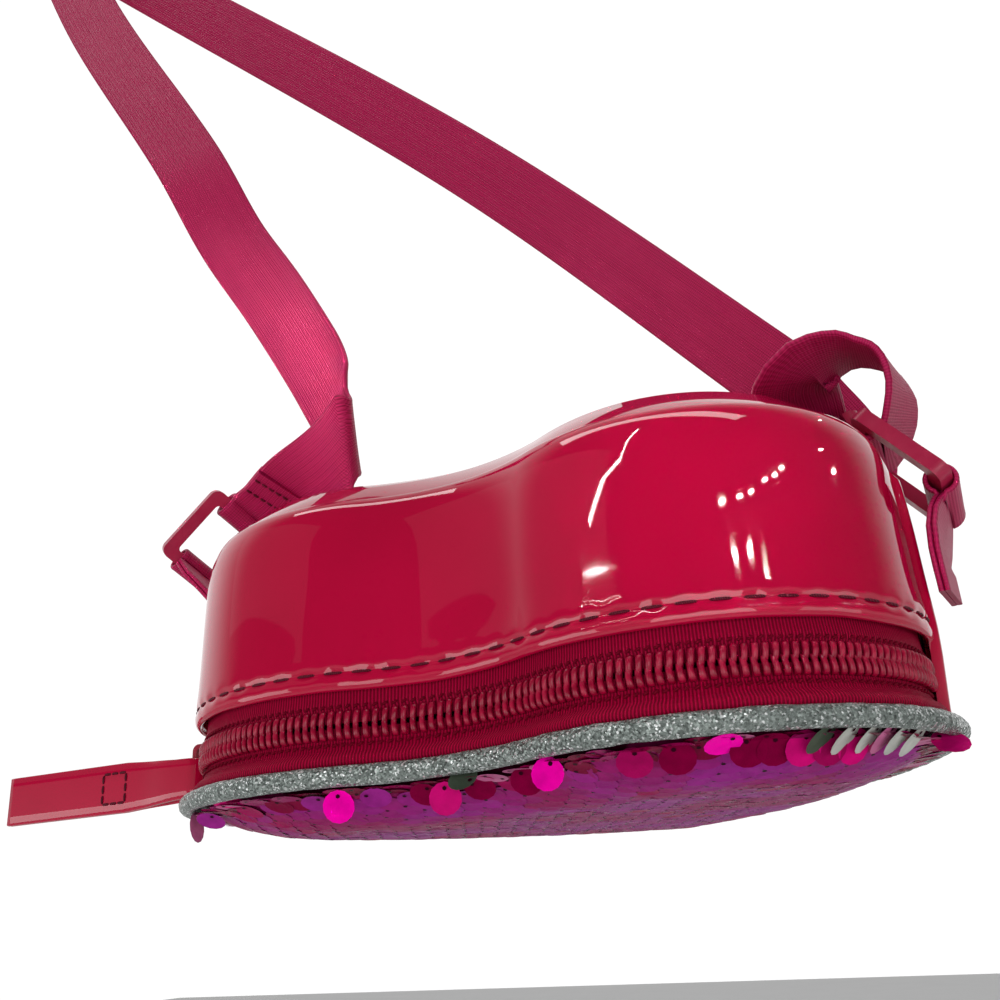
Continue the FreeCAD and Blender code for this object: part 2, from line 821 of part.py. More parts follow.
def rounded_plate(wide, tall, corner, thick):
    """A plate with rounded corners, centred on the origin."""
    x = wide / 2
    y = tall / 2
    diagonal = corner * (1 - math.sqrt(1 / 2))
    edges = []
    last = None
    first = None
    for sx, sy in ((1, 1), (-1, 1), (-1, -1), (1, -1)):
        on_side = FreeCAD.Vector(sx * x, sy * (y - corner), 0)
        on_end = FreeCAD.Vector(sx * (x - corner), sy * y, 0)
        middle = FreeCAD.Vector(sx * (x - diagonal), sy * (y - diagonal), 0)
        ends = (on_side, on_end) if sx * sy > 0 else (on_end, on_side)
        if last:
            edges.append(Part.makeLine(last, ends[0]))
        first = first or ends[0]
        edges.append(Part.Arc(ends[0], middle, ends[1]).toShape())
        last = ends[1]
    edges.append(Part.makeLine(last, first))
    plate = Part.Face(Part.Wire(edges)).extrude(UP * thick)
    plate.translate(UP * (-thick / 2))
    return plate


side_x = lobe_centre_x + lobe_radius
left_bar = (-side_x - left_bar_out, *left_bar_level)
right_bar = (side_x + right_bar_out, *right_bar_level)
left_ring = Ring(left_bar, left_bar_side, left_bar_reach)
right_ring = Ring(right_bar, right_bar_side, right_bar_reach)
left_tab_root = (-side_x - left_root_out, *left_root_level)
right_tab_root = (side_x + right_root_out, *right_root_level)


def make_tab(name, ring, root):
    """A web tab: a loop round the ring's bar and a doubled tail sewn flat to the side seam."""
    foot = FreeCAD.Vector(*root)
    loop = ring.sleeve(ring.tab_bar, tab_ply, tab_width)
    away = foot - ring.tab_bar
    lead = unit(away - ring.side * away.dot(ring.side))
    start = ring.tab_bar + lead * ring.sleeve_radius(tab_ply)
    points = [start, start + lead * tab_lead, foot, foot - UP * tab_foot]
    sides = [ring.side, ring.side, ALONG_Y, ALONG_Y]
    frames, marks = stations([as_tuple(p) for p in points], [as_tuple(v) for v in sides])
    tail = ribbon(frames, tab_width, 2 * tab_ply).cut(ring.core(ring.tab_bar, tab_ply))
    emit(name, loop.fuse(tail))


def crown_points():
    """Stations over the strap's crown, from the left run round to the right run."""
    side = unit(FreeCAD.Vector(*crown_side))
    top = FreeCAD.Vector(*crown)
    rise = unit(UP - side * UP.dot(side))
    right = rise.cross(side)
    if right.y < 0:
        right = right.negative()
    middle = top - rise * crown_radius
    points = []
    for angle in crown_angles:
        turn = math.radians(angle)
        points.append(middle + (right * math.sin(turn) + rise * math.cos(turn)) * crown_radius)
    return points


fold_radius = left_ring.sleeve_radius(strap_thick)
fold_way = FreeCAD.Vector(*left_lower[0]) - left_ring.strap_bar
fold_way = unit(fold_way - left_ring.side * fold_way.dot(left_ring.side))
fold_start = left_ring.strap_bar + fold_way * fold_radius
turn_radius = right_ring.sleeve_radius(strap_thick)
turn_inner = right_ring.strap_bar - right_ring.face * turn_radius + right_ring.reach * fit_gap
turn_outer = right_ring.strap_bar - right_ring.reach * turn_radius + right_ring.face * fit_gap


def strap_frames():
    """Frames along the whole strap, from the left ring over the crown to the right ring."""
    arch = [as_tuple(p) for p in crown_points()]
    lead = [as_tuple(fold_start), as_tuple(fold_start + fold_way * strap_lead)]
    middle = FreeCAD.Vector(*slide_place)
    ahead_by = unit(FreeCAD.Vector(*slide_lie)) * slide_straight
    slide = [as_tuple(middle + ahead_by * share) for share in slide_straight_shares]
    tail = [as_tuple(turn_inner + right_ring.reach * strap_lead), as_tuple(turn_inner)]
    points = lead + left_lower + left_upper + arch + right_upper + slide + return_points + tail
    sides = [as_tuple(left_ring.side.negative())] * len(lead) + left_lower_sides + left_upper_sides
    sides += [crown_side] * len(arch) + right_upper_sides + [slide_side] * len(slide)
    sides += return_sides + [as_tuple(right_ring.side)] * len(tail)
    skews = [0.0] * len(points)
    skews[len(lead):len(lead) + len(left_lower)] = left_lower_skew_shares
    return stations(points, sides, skews)


def make_strap():
    """The strap's runs: two upper runs that meet at the crown, and the slack lower ones."""
    frames, marks = strap_frames()
    fold = 2
    bend = fold + len(left_lower) - 1
    top = bend + len(left_upper) + 2
    slide = top + 1 + len(right_upper) + 1 + slide_straight_shares.index(0)
    runs = {
        "strap_left_lower": (fold, bend),
        "strap_left_upper": (bend, top),
        "strap_right_upper": (top, slide),
        "strap_return": (slide, len(marks) - 1),
    }
    for name, (first, last) in runs.items():
        emit(name, ribbon(frames[marks[first]:marks[last] + 1], strap_width, strap_thick))
    loop = left_ring.sleeve(left_ring.strap_bar, strap_thick, strap_width)
    tail = ribbon(frames[:marks[fold] + 1], strap_width, 2 * strap_thick)
    emit("strap_left_fold", loop.fuse(tail))
    make_fold_stitches(frames[marks[1]], frames[marks[fold]])
    make_slide(frames[marks[slide]])
    make_loop(frames[marks[slide]])
    round_bar = right_ring.sleeve(right_ring.strap_bar, strap_thick, strap_width)
    quarter = Part.makeBox(span, span, span, FreeCAD.Vector(-span / 2, -span, -span))
    quarter = framed(quarter, right_ring.strap_bar, right_ring.side, right_ring.reach)
    emit("strap_right_turn", round_bar.common(quarter))


def make_fold_stitches(start, end):
    """Two rows of stitching across the strap's sewn fold, on both faces."""
    rows = []
    for share in fold_stitch_shares:
        middle = start[0] + (end[0] - start[0]) * share
        across = unit(start[1] * (1 - share) + end[1] * share)
        face = unit(start[3] * (1 - share) + end[3] * share)
        half = across * (strap_width / 2 - stitch_width)
        for side in (-1, 1):
            level = middle + face * (side * strap_thick)
            rows += stitched(level - half, level + half, face * side)
    emit("strap_fold_stitch", Part.makeCompound(rows))


def make_loop(frame):
    """The slack curl from the slide's middle bar over to the right ring."""
    centre, across, way, face = frame
    lift = strap_thick / 2 + fit_gap + slide_deep + fit_gap + strap_thick / 2
    upper = face if face.z > 0 else face.negative()
    start = centre + upper * lift
    lead = FreeCAD.Vector(*slide_lie) * (slide_bar / 2)
    tail = [turn_outer + right_ring.face * turn_lead, turn_outer]
    points = [as_tuple(start + lead), as_tuple(start - lead)] + loop_points + [as_tuple(p) for p in tail]
    sides = [as_tuple(across)] * 2 + loop_sides + [as_tuple(right_ring.side)] * len(tail)
    frames, marks = stations(points, sides)
    emit("strap_loop", ribbon(frames, strap_width, strap_thick))


def make_slide(frame):
    """Three-bar slide: the strap goes under the outer bars and over the middle one."""
    centre, across, way, face = frame
    inside = strap_width + 2 * slide_side_clear
    free = strap_thick / 2 + fit_gap
    solid = rounded_plate(inside + 2 * slide_rail, slide_long, slide_rail, 2 * (free + slide_deep))
    left = -inside / 2
    gap = (slide_long - 3 * slide_bar) / 2
    cuts = [Part.makeBox(inside, span, 2 * free, FreeCAD.Vector(left, -span / 2, -free))]
    for start in (-slide_long / 2 + slide_bar, slide_bar / 2):
        cuts.append(Part.makeBox(inside, gap, span, FreeCAD.Vector(left, start, -span / 2)))
    for start in (-slide_long / 2, slide_long / 2 - slide_bar):
        cuts.append(Part.makeBox(inside, slide_bar, span, FreeCAD.Vector(left, start, -span)))
    cuts.append(Part.makeBox(inside, slide_bar, span, FreeCAD.Vector(left, -slide_bar / 2, 0)))
    solid = solid.cut(cuts[0].fuse(cuts[1:]))
    emit("strap_slide", framed(solid, centre, across, way))


def make_rings():
    """Both rings and their tabs."""
    emit("ring_left", left_ring.solid())
    emit("ring_right", right_ring.solid())
    make_tab("tab_left", left_ring, left_tab_root)
    make_tab("tab_right", right_ring, right_tab_root)


os.makedirs("parts", exist_ok=True)
make_gusset()
make_back()
make_front()
make_piping()
make_edge_sequins()
make_zip()
make_slider()
make_pull()
make_topstitch()
make_rings()
make_strap()
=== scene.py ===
import bpy
import math
import random
import numpy as np
from mathutils import Matrix, Vector, noise


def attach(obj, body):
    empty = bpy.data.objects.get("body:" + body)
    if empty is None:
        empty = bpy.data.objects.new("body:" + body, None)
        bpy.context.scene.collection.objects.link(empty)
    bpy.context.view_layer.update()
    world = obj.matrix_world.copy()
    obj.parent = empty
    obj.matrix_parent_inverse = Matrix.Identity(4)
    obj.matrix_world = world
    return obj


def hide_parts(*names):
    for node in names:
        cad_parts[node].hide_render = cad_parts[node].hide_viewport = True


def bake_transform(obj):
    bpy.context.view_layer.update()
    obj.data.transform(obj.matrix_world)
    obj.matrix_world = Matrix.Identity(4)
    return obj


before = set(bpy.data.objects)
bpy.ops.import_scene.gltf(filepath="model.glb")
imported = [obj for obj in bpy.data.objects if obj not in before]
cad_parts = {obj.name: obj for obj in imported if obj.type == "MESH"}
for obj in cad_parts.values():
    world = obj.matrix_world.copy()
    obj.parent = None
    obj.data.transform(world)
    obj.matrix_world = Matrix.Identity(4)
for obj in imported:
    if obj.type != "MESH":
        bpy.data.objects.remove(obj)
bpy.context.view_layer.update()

# All sizes below are millimetres from the centre of the heart at the level of its piping.
CROWN = Vector((-183.0, -12.0, 350.0))
UP = Vector((0, 0, 1))
DOWN = Vector((0, 0, -1))
LOBE_X, LOBE_R, NOTCH_R, SIDE_R, TIP_Y, TIP_R = 36.0, 44.0, 40.0, 150.0, 104.0, 9.0
MIDDLE_Y = 16
LEAST_Y, MOST_Y = -60.0, 120.0
SEAM_Y = 9.0
FLAP_Y, FIXED_Y = 2.7, 3.3
CHAIN_Z = 9.6
TAPE_INSET = 3.4


def at(x, y, z):
    """A place on the purse, in the row frame in metres."""
    return (Vector((x, y, z)) - CROWN) * 0.001


# Heart outline

def right_arcs():
    """Arcs of the right half from the notch to the tip: centre, radius, side, start and end angle."""
    notch_y = -math.sqrt((LOBE_R + NOTCH_R) ** 2 - LOBE_X ** 2)
    lobe = Vector((LOBE_X, 0))
    tip = Vector((0, TIP_Y - TIP_R))
    across = tip - lobe
    lobe_reach, tip_reach = SIDE_R - LOBE_R, SIDE_R - TIP_R
    along = (lobe_reach ** 2 - tip_reach ** 2 + across.length ** 2) / (2 * across.length)
    aside = math.sqrt(lobe_reach ** 2 - along ** 2)
    way = across.normalized()
    side = lobe + way * along + Vector((-way.y, way.x)) * aside
    side_angle = math.atan2(lobe.y - side.y, lobe.x - side.x)
    tip_angle = math.atan2(tip.y - side.y, tip.x - side.x)
    return [
        (Vector((0, notch_y)), NOTCH_R, -1, math.pi / 2, math.atan2(-notch_y, LOBE_X)),
        (lobe, LOBE_R, 1, math.atan2(notch_y, -LOBE_X), side_angle),
        (side, SIDE_R, 1, side_angle, tip_angle),
        (tip, TIP_R, 1, tip_angle, math.pi / 2),
    ]


ARCS = right_arcs()
HALF = sum(r * abs(b - a) for c, r, k, a, b in ARCS)


def heart(s):
    """Point and outward direction on the outline, s from the notch: right is positive."""
    flip = -1 if s < 0 else 1
    rest = min(abs(s), HALF)
    for centre, radius, side, start, end in ARCS:
        length = radius * abs(end - start)
        if rest <= length + 1e-9:
            break
        rest -= length
    turn = start + (end - start) * min(rest / length, 1)
    out = Vector((math.cos(turn), math.sin(turn)))
    point = centre + out * radius
    out = out * side
    return Vector((point.x * flip, point.y)), Vector((out.x * flip, out.y))


def out_of(s):
    """Outward direction of the outline, in space."""
    return heart(s)[1].to_3d()


def s_at(y):
    """How far round from the notch the outline's side first comes to y."""
    low, high = NOTCH_R * 0.8 + LOBE_R, HALF
    for step in range(60):
        mid = (low + high) / 2
        if heart(mid)[0].y < y:
            low = mid
        else:
            high = mid
    return low


def spread(low, high, step):
    """Even stops from low to high."""
    count = max(2, round((high - low) / step))
    return [low + (high - low) * k / count for k in range(count + 1)]


def on_heart(s, inset, z):
    """A place at an inset from the outline."""
    point, out = heart(s)
    return Vector((point.x - out.x * inset, point.y - out.y * inset, z))


OUTLINE = np.array([heart(s)[0] for s in spread(-HALF, HALF, 1.0)])
SEAM_S, FLAP_S, FIXED_S = s_at(SEAM_Y), s_at(FLAP_Y), s_at(FIXED_Y)


def past_tip(start, step):
    """Stops from a place on the right side round the tip to the same place on the left."""
    right = spread(start, HALF, step)
    return right + [-s for s in reversed(right[:-1])]


def edge_distance(x, y):
    """How far a place lies inside the outline."""
    gap = OUTLINE - np.array([x, y])
    return math.sqrt((gap ** 2).sum(axis=1).min())


def inside_heart(x, y):
    """Whether a place lies inside the outline."""
    odd = False
    for (px, py), (qx, qy) in zip(OUTLINE, OUTLINE[1:]):
        if (qy > y) != (py > y) and x < (px - qx) * (y - qy) / (py - qy) + qx:
            odd = not odd
    return odd


def lump(x, y, z, size, seed=0.0):
    """Smooth unevenness from -1 to 1 with features of a size in millimetres."""
    return noise.noise(Vector((x / size + seed, y / size - seed, z / size + 2 * seed)))


def clamp(value):
    return min(max(value, 0), 1)


def squared(way, axis):
    """A direction turned square to another."""
    return (way - axis * way.dot(axis)).normalized()


# Meshes

def add_object(name, data):
    made = bpy.data.objects.new(name, data)
    bpy.context.scene.collection.objects.link(made)
    return made


def make(name, verts, faces, slot, body, *nodes, uvs=None, tints=None):
    """A smooth piece from places in millimetres, with its slot, its body and the solids it stands for.

    A body given as two names and two places is not used: the piece is left unattached where it is built.
    """
    mesh = bpy.data.meshes.new(name)
    mesh.from_pydata([at(*v) for v in verts], [], faces)
    if uvs is not None:
        layer = mesh.uv_layers.new(name="cloth")
        loops = np.array([loop.vertex_index for loop in mesh.loops])
        layer.data.foreach_set("uv", np.array(uvs, float)[loops].ravel())
    if tints is not None:
        layer = mesh.attributes.new("tint", "FLOAT_COLOR", "POINT")
        layer.data.foreach_set("color", np.array(tints, float).ravel())
    mesh.polygons.foreach_set("use_smooth", [True] * len(mesh.polygons))
    mesh.materials.append(LOOKS[slot])
    mesh.update()
    piece = add_object(name, mesh)
    if nodes:
        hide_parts(*nodes)
    if isinstance(body, str):
        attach(piece, body)
    else:
        first, second, low, high = body
        at(*low)
        at(*high)
        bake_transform(piece)
    return piece


def grid(rows, wrap=False, caps=0):
    """Vertices and quads of rows of places: wrap closes each row, caps both ends, facing by its sign."""
    wide = len(rows[0])
    verts = [v for row in rows for v in row]
    faces = []
    for i in range(len(rows) - 1):
        j = i + 1
        for k in range(wide if wrap else wide - 1):
            m = (k + 1) % wide
            faces.append((i * wide + k, j * wide + k, j * wide + m, i * wide + m))
    if caps:
        ends = range(wide), range(len(verts) - 1, len(verts) - wide - 1, -1)
        faces += [tuple(end)[::caps] for end in ends]
    return verts, faces


class Heap:
    """Many small meshes joined into one."""

    def __init__(self):
        self.verts, self.faces = [], []

    def add(self, verts, faces):
        first = len(self.verts)
        self.verts += verts
        self.faces += [tuple(first + i for i in face) for face in faces]


def lengths(points):
    """Running length along places."""
    total = [0.0]
    for a, b in zip(points, points[1:]):
        total.append(total[-1] + (Vector(b) - Vector(a)).length)
    return total


def circle(count):
    """Cosine and sine of even steps round a circle."""
    turns = [2 * math.pi * k / count for k in range(count)]
    return [(math.cos(turn), math.sin(turn)) for turn in turns]


def sweep(name, stops, profile, slot, body, *nodes, wobble=None, uvs=None):
    """A strip round the heart: profile is (inset, z) pairs, wobble moves them."""
    rows, cloth = [], []
    run = lengths([Vector((i, z, 0)) for i, z in profile])
    for s in stops:
        row = []
        for (inset, z), along in zip(profile, run):
            move = wobble(s, inset, z) if wobble else (0, 0)
            row.append(on_heart(s, inset + move[0], z + move[1]))
            cloth.append((s, along))
        rows.append(row)
    make(name, *grid(rows), slot, body, *nodes, uvs=uvs or cloth)


# Materials

class Nodes:
    """Helpers for a node tree."""

    def __init__(self, tree):
        self.tree = tree

    def node(self, kind, values=None, **settings):
        """A new node; values are linked to its inputs or set on them."""
        made = self.tree.nodes.new("ShaderNode" + kind)
        for key, value in settings.items():
            setattr(made, key, value)
        for key, value in (values or {}).items():
            self.feed(value, made.inputs[key])
        return made

    def feed(self, value, socket):
        """Links an output to a socket, or sets a plain value."""
        if hasattr(value, "is_linked"):
            self.tree.links.new(value, socket)
        else:
            socket.default_value = value

    def math(self, kind, first, second, node="Math"):
        sums = self.node(node, {0: first, 1: second}, operation=kind)
        return sums.outputs["Value" if kind == "DOT_PRODUCT" else 0]

    def ramp(self, share, low, high, start=0.0, end=1.0, **settings):
        """Remaps a share to a range."""
        values = {"Value": share, "From Min": low, "From Max": high, "To Min": start, "To Max": end}
        return self.node("MapRange", values, **settings).outputs["Result"]


class Look(Nodes):
    """A procedural material with one shader."""

    def __init__(self, name, roughness, specular):
        self.material = bpy.data.materials.new(name)
        self.material.use_nodes = True
        super().__init__(self.material.node_tree)
        self.shader = self.tree.nodes["Principled BSDF"].inputs
        self.shader["Roughness"].default_value = roughness
        self.shader["Specular IOR Level"].default_value = specular
        self.height = None

    def texture(self, kind, uv, scale, turn=0.0, **values):
        """A texture in features per millimetre, from the cloth or from space."""
        size = scale if isinstance(scale, tuple) else (scale, scale, scale)
        size = size if uv else tuple(1000 * v for v in size)
        place = self.node("TexCoord").outputs["UV" if uv else "Object"]
        mapping = self.node("Mapping", {"Vector": place, "Scale": size, "Rotation": (0, 0, turn)})
        made = self.node("Tex" + kind, {"Vector": mapping.outputs["Vector"], "Scale": 1.0, **values})
        return made.outputs["Color" if kind == "Voronoi" else "Fac"]

    def noise(self, scale, detail=2.0, uv=False):
        return self.texture("Noise", uv, scale, Detail=detail)

    def wave(self, scale, turn=0.0, distort=0.0):
        """Even ridges across the cloth's first direction, turned."""
        return self.texture("Wave", True, scale, turn, Distortion=distort)

    def mix(self, share, low, high):
        """Blends two colours by a share."""
        low, high = (value + (1.0,) if isinstance(value, tuple) else value for value in (low, high))
        return self.node("Mix", {"Factor": share, 6: low, 7: high}, data_type="RGBA").outputs[2]

    def blended(self, first, first_share, second, second_share):
        """Two heights added in shares."""
        first = self.math("MULTIPLY", first, first_share)
        return self.math("ADD", first, self.math("MULTIPLY", second, second_share))

    def paint(self, socket):
        self.feed(socket, self.shader["Base Color"])

    def cloudy(self, cloud, low, high):
        """Paints between two colours by a cloud."""
        self.paint(self.mix(self.ramp(cloud, 0.3, 0.7), low, high))

    def rough(self, socket, low, high, start, end):
        self.feed(self.ramp(socket, low, high, start, end), self.shader["Roughness"])

    def bump(self, socket, depth_mm):
        """Adds a bump of a depth in millimetres on top of earlier ones."""
        values = {"Strength": 1.0, "Distance": depth_mm * 0.001, "Height": socket}
        if self.height is not None:
            values["Normal"] = self.height
        self.height = self.node("Bump", values).outputs["Normal"]
        self.feed(self.height, self.shader["Normal"])


def vinyl_look():
    look = Look("vinyl", 0.06, 0.5)
    look.cloudy(look.noise(0.03, 3.0), (0.4, 0.0, 0.03), (0.46, 0.0, 0.037))
    look.rough(look.noise(0.2, 3.0), 0.3, 0.7, 0.02, 0.045)
    look.bump(look.noise(0.05, 1.0), 0.015)
    return look.material


def webbing_look():
    look = Look("webbing", 0.42, 0.15)
    ribs = look.wave((0.0, 0.55, 0.0), math.pi / 2)
    warp = look.wave((0.62, 0.0, 0.0))
    twill = look.wave((0.42, 0.42, 0.0), 0.0, 0.4)
    weave = look.blended(look.math("MULTIPLY", look.math("ADD", ribs, warp), 0.5), 0.7, twill, 0.3)
    cloud = look.noise((0.5, 0.03, 0.5), 3.0, True)
    shade = look.mix(look.ramp(weave, 0.2, 0.8), (0.21, 0.0, 0.03), (0.5, 0.012, 0.1))
    look.paint(look.mix(look.ramp(cloud, 0.35, 0.7, 0.0, 0.45), shade, (0.42, 0.01, 0.08)))
    look.rough(weave, 0.0, 1.0, 0.55, 0.36)
    look.bump(weave, 0.14)
    look.bump(look.noise(0.1, 2.0, True), 0.12)
    return look.material


def tape_look():
    look = Look("zip_tape", 0.6, 0.06)
    twill = look.wave((0.5, 0.62, 0.0), 0.0, 0.5)
    weave = look.blended(twill, 0.75, look.noise(2.4, 2.0, True), 0.25)
    look.paint(look.mix(look.ramp(weave, 0.2, 0.85), (0.15, 0.0, 0.012), (0.42, 0.0, 0.04)))
    look.rough(weave, 0.0, 1.0, 0.7, 0.5)
    look.bump(weave, 0.22)
    return look.material


def coil_look():
    look = Look("zip_coil", 0.22, 0.32)
    cloud = look.noise(0.6)
    look.cloudy(cloud, (0.22, 0.0, 0.018), (0.38, 0.002, 0.036))
    look.rough(cloud, 0.3, 0.7, 0.2, 0.34)
    look.bump(look.noise(3.0), 0.02)
    return look.material


def glitter_look():
    """Flakes that each face their own way."""
    look = Look("glitter", 0.35, 0.5)
    look.shader["Metallic"].default_value = 0.5
    flakes = look.texture("Voronoi", False, 3.0)
    lean = look.math("SUBTRACT", flakes, (0.5, 0.5, 0.5), "VectorMath")
    lean = look.math("MULTIPLY", lean, (1.1, 1.1, 1.1), "VectorMath")
    lean = look.math("ADD", look.node("NewGeometry").outputs["Normal"], lean, "VectorMath")
    look.feed(look.math("NORMALIZE", lean, (0, 0, 0), "VectorMath"), look.shader["Normal"])
    split = look.node("SeparateColor", {0: flakes})
    dull = look.mix(look.ramp(split.outputs[0], 0.1, 0.95), (0.085, 0.1, 0.092), (0.27, 0.31, 0.29))
    look.paint(look.mix(look.ramp(split.outputs[1], 0.86, 0.9), dull, (0.9, 0.93, 0.92)))
    look.rough(split.outputs[2], 0.0, 1.0, 0.18, 0.5)
    return look.material


def sequin_look():
    look = Look("sequin", 0.2, 0.01)
    tint = look.node("Attribute", attribute_name="tint").outputs["Color"]
    cloud = look.noise(0.35)
    dull = look.node("HueSaturation", {"Value": 0.72, "Color": tint})
    look.paint(look.mix(look.ramp(cloud, 0.3, 0.75), tint, dull.outputs["Color"]))
    look.rough(cloud, 0.3, 0.7, 0.16, 0.3)
    look.bump(look.noise(1.2), 0.03)
    return look.material


def thread_look():
    look = Look("thread", 0.6, 0.2)
    twist = look.texture("Wave", False, 0.9, Distortion=1.5)
    look.paint(look.mix(twist, (0.055, 0.0, 0.007), (0.13, 0.0, 0.016)))
    look.bump(twist, 0.08)
    return look.material


def plastic_look(name, low, high, roughness):
    look = Look(name, roughness, 0.4)
    look.cloudy(look.noise(0.12, 3.0), low, high)
    look.rough(look.noise(0.5), 0.3, 0.7, roughness * 0.85, roughness * 1.2)
    look.bump(look.noise(1.6), 0.02)
    return look.material


def lining_look():
    look = Look("lining", 0.7, 0.2)
    look.shader["Sheen Weight"].default_value = 0.2
    weave = look.math("ADD", look.wave((0.9, 0.0, 0.0)), look.wave((0.0, 0.9, 0.0), math.pi / 2))
    weave = look.math("MULTIPLY", weave, 0.5)
    look.paint(look.mix(weave, (0.2, 0.006, 0.03), (0.36, 0.016, 0.065)))
    look.bump(weave, 0.08)
    look.bump(look.noise(0.06, 2.0, True), 0.5)
    return look.material


# By the name of the slot
LOOKS = {
    "vinyl": vinyl_look(), "webbing": webbing_look(), "zip_tape": tape_look(), "zip_coil": coil_look(),
    "glitter": glitter_look(), "sequin": sequin_look(), "thread": thread_look(), "lining": lining_look(),
}
RING = plastic_look("ring_plastic", (0.36, 0.008, 0.05), (0.42, 0.014, 0.062), 0.36)
PAINT = plastic_look("zip_metal", (0.26, 0.002, 0.02), (0.32, 0.006, 0.03), 0.28)

# Sequin colours
PINK = (0.62, 0.004, 0.17)
HOT = (1.0, 0.0, 0.42)
ROSE = (0.55, 0.14, 0.3)
WINE = (0.2, 0.0, 0.035)
BERRY = (0.34, 0.003, 0.085)
MAUVE = (0.3, 0.01, 0.105)
VIOLET = (0.32, 0.018, 0.235)
SILVER = (0.52, 0.53, 0.49)
GREEN = (0.075, 0.1, 0.07)
# Painted shade: the padded front's colour near its rim, standing for the shade under the piping and the loose sequins
PAINTED_RIM_SHADE = (0.045, 0.0, 0.013)
KNOT = (0.03, 0.002, 0.01)


# Gusset

STITCH_Z, STITCH_STEP = 19.2, 5.6


def slack(s, inset, z):
    """Gentle unevenness of the vinyl."""
    x, y = heart(s)[0]
    soft = min(max((z - 17) / 8, 0.15), 1) * min(max((57 - z) / 4, 0.3), 1)
    return (0.2 * lump(x, y, z, 34, 3.1) + 0.1 * lump(x, y, z, 13, 7.7)) * soft, 0.0


def hem_slack(s, inset, z):
    """The band's slack, with a hem that dips and puckers a little between stitches."""
    x, y = heart(s)[0]
    pucker = math.exp(-((z - STITCH_Z) / 1.3) ** 2) * 0.1 * math.cos(2 * math.pi * s / STITCH_STEP)
    dip = clamp((21 - z) / 4) * (0.35 * lump(x, y, 0, 26, 1.3) + 0.12 * lump(x, y, 0, 9, 5.3))
    return slack(s, inset, z)[0] + pucker, dip


SHOULDER = [(1.9, 43), (2.1, 46.5), (2.4, 49.2), (2.85, 51.4), (3.45, 53.2), (4.15, 54.5), (4.9, 55.35),
            (5.6, 55.75), (6.2, 55.7), (6.4, 55.2)]
BAND = [(3.1, 21.5), (2.9, 18.5), (2.6, 16.8), (2.2, 16.15), (1.75, 15.9), (1.3, 15.98), (0.95, 16.3), (0.75, 16.9),
        (0.68, 17.6), (0.78, 18.3), (1.02, 18.85), (1.14, 19.2), (1.06, 19.55), (0.92, 20.1), (0.9, 20.9),
        (0.98, 22.2), (1.1, 24), (1.24, 27), (1.4, 31), (1.55, 35), (1.72, 39)] + SHOULDER
LOWER = [(3, 2.6), (2.4, 2.25), (2.1, 2.5), (2, 3.4), (1.85, 6), (1.6, 9.5), (1.3, 14), (1.15, 19),
         (1.25, 25), (1.45, 31), (1.62, 37)] + SHOULDER
WALL = LOWER[3:15]
around = past_tip(SEAM_S, 1.0)
sweep("gusset_band_skin", spread(-SEAM_S, SEAM_S, 1.0), BAND, "vinyl", "purse", "gusset_band", "gusset_hem_turn",
      wobble=hem_slack)
sweep("gusset_lower_skin", around, LOWER, "vinyl", "purse", "gusset_lower",
      wobble=slack, uvs=[(k, z) for k in range(len(around)) for i, z in LOWER])

LAP_Z = 2.2, 49.4
LAP_ACROSS = [0, 0, 0.03, 0.08, 0.16, 0.28, 0.4, 0.5, 0.6, 0.72, 0.84, 0.92, 0.97, 1, 1]
LAP_LIFTS = [-0.6, 0.5, 1.05, 1.3, 1.42, 1.46, 1.46, 1.46, 1.46, 1.46, 1.42, 1.3, 1.05, 0.5, -0.6]


def lap(node, side):
    """The raised strip over a side seam, its edges rolled."""
    low, high = s_at(4.0), s_at(14.0)
    insets, levels = zip(*WALL)
    rows = []
    for z in spread(*LAP_Z, 1.6):
        full = 0.25 + 0.75 * math.sqrt(clamp((LAP_Z[1] - z) / 1.6))
        inset = np.interp(z, levels, insets)
        row = []
        for share, lift in zip(LAP_ACROSS, LAP_LIFTS):
            s = side * (low + (high - low) * share)
            row.append(on_heart(s, inset + slack(s, inset, z)[0] - lift * full, z))
        rows.append(row)
    verts, faces = grid(rows)
    make(node + "_skin", verts, faces, "vinyl", "purse", node, uvs=[(v.x, v.z) for v in verts])


lap("seam_lap_left", -1)
lap("seam_lap_right", 1)


# Padded panels and lining

FRONT_INSET, FRONT_HEIGHT, FRONT_Z, FRONT_REACH = 2.2, 6.4, -0.2, 27.0


def rise(x, y, inset, reach):
    """Share of its height that a padded panel has at a place, and how far in from its rim that is."""
    depth = max(edge_distance(x, y) - inset, 0)
    return 1 - (1 - min(depth / reach, 1)) ** 2.2, depth


def drawn(step, inset, rings, bend, level):
    """A heart of rings from the outline at an inset to the middle, each place at its own level."""
    rows = []
    for ring in range(rings + 1):
        pull = (ring / rings) ** bend
        row = []
        for s in spread(-HALF, HALF, step)[:-1]:
            x, y, z = on_heart(s, inset, 0)
            x, y = x - x * pull, y + (MIDDLE_Y - y) * pull
            row.append(Vector((x, y, level(x, y, pull))))
        rows.append(row)
    return grid(rows, wrap=True)


def dome(rings, inset, height, base_z, sign, reach):
    """A padded heart."""
    def level(x, y, pull):
        share, depth = rise(x, y, inset, reach)
        soft = 0.35 * lump(x, y, base_z, 30, 2.4) * min(depth / 6, 1)
        return base_z + sign * (height * share + soft)

    return drawn(2.0, inset, rings, 0.8, level)


def cut_rows(verts, faces, low, high):
    """Only the faces whose places lie between two Y values, each place drawn back to them."""
    keep = [f for f in faces if low - 1.2 <= sum(verts[i].y for i in f) / len(f) <= high + 1.2]
    used = sorted({i for f in keep for i in f})
    place = {old: new for new, old in enumerate(used)}
    points = [Vector((verts[i].x, min(max(verts[i].y, low), high), verts[i].z)) for i in used]
    return points, [tuple(place[i] for i in f) for f in keep]


def flat_uvs(verts):
    return [(v.x, v.y) for v in verts]


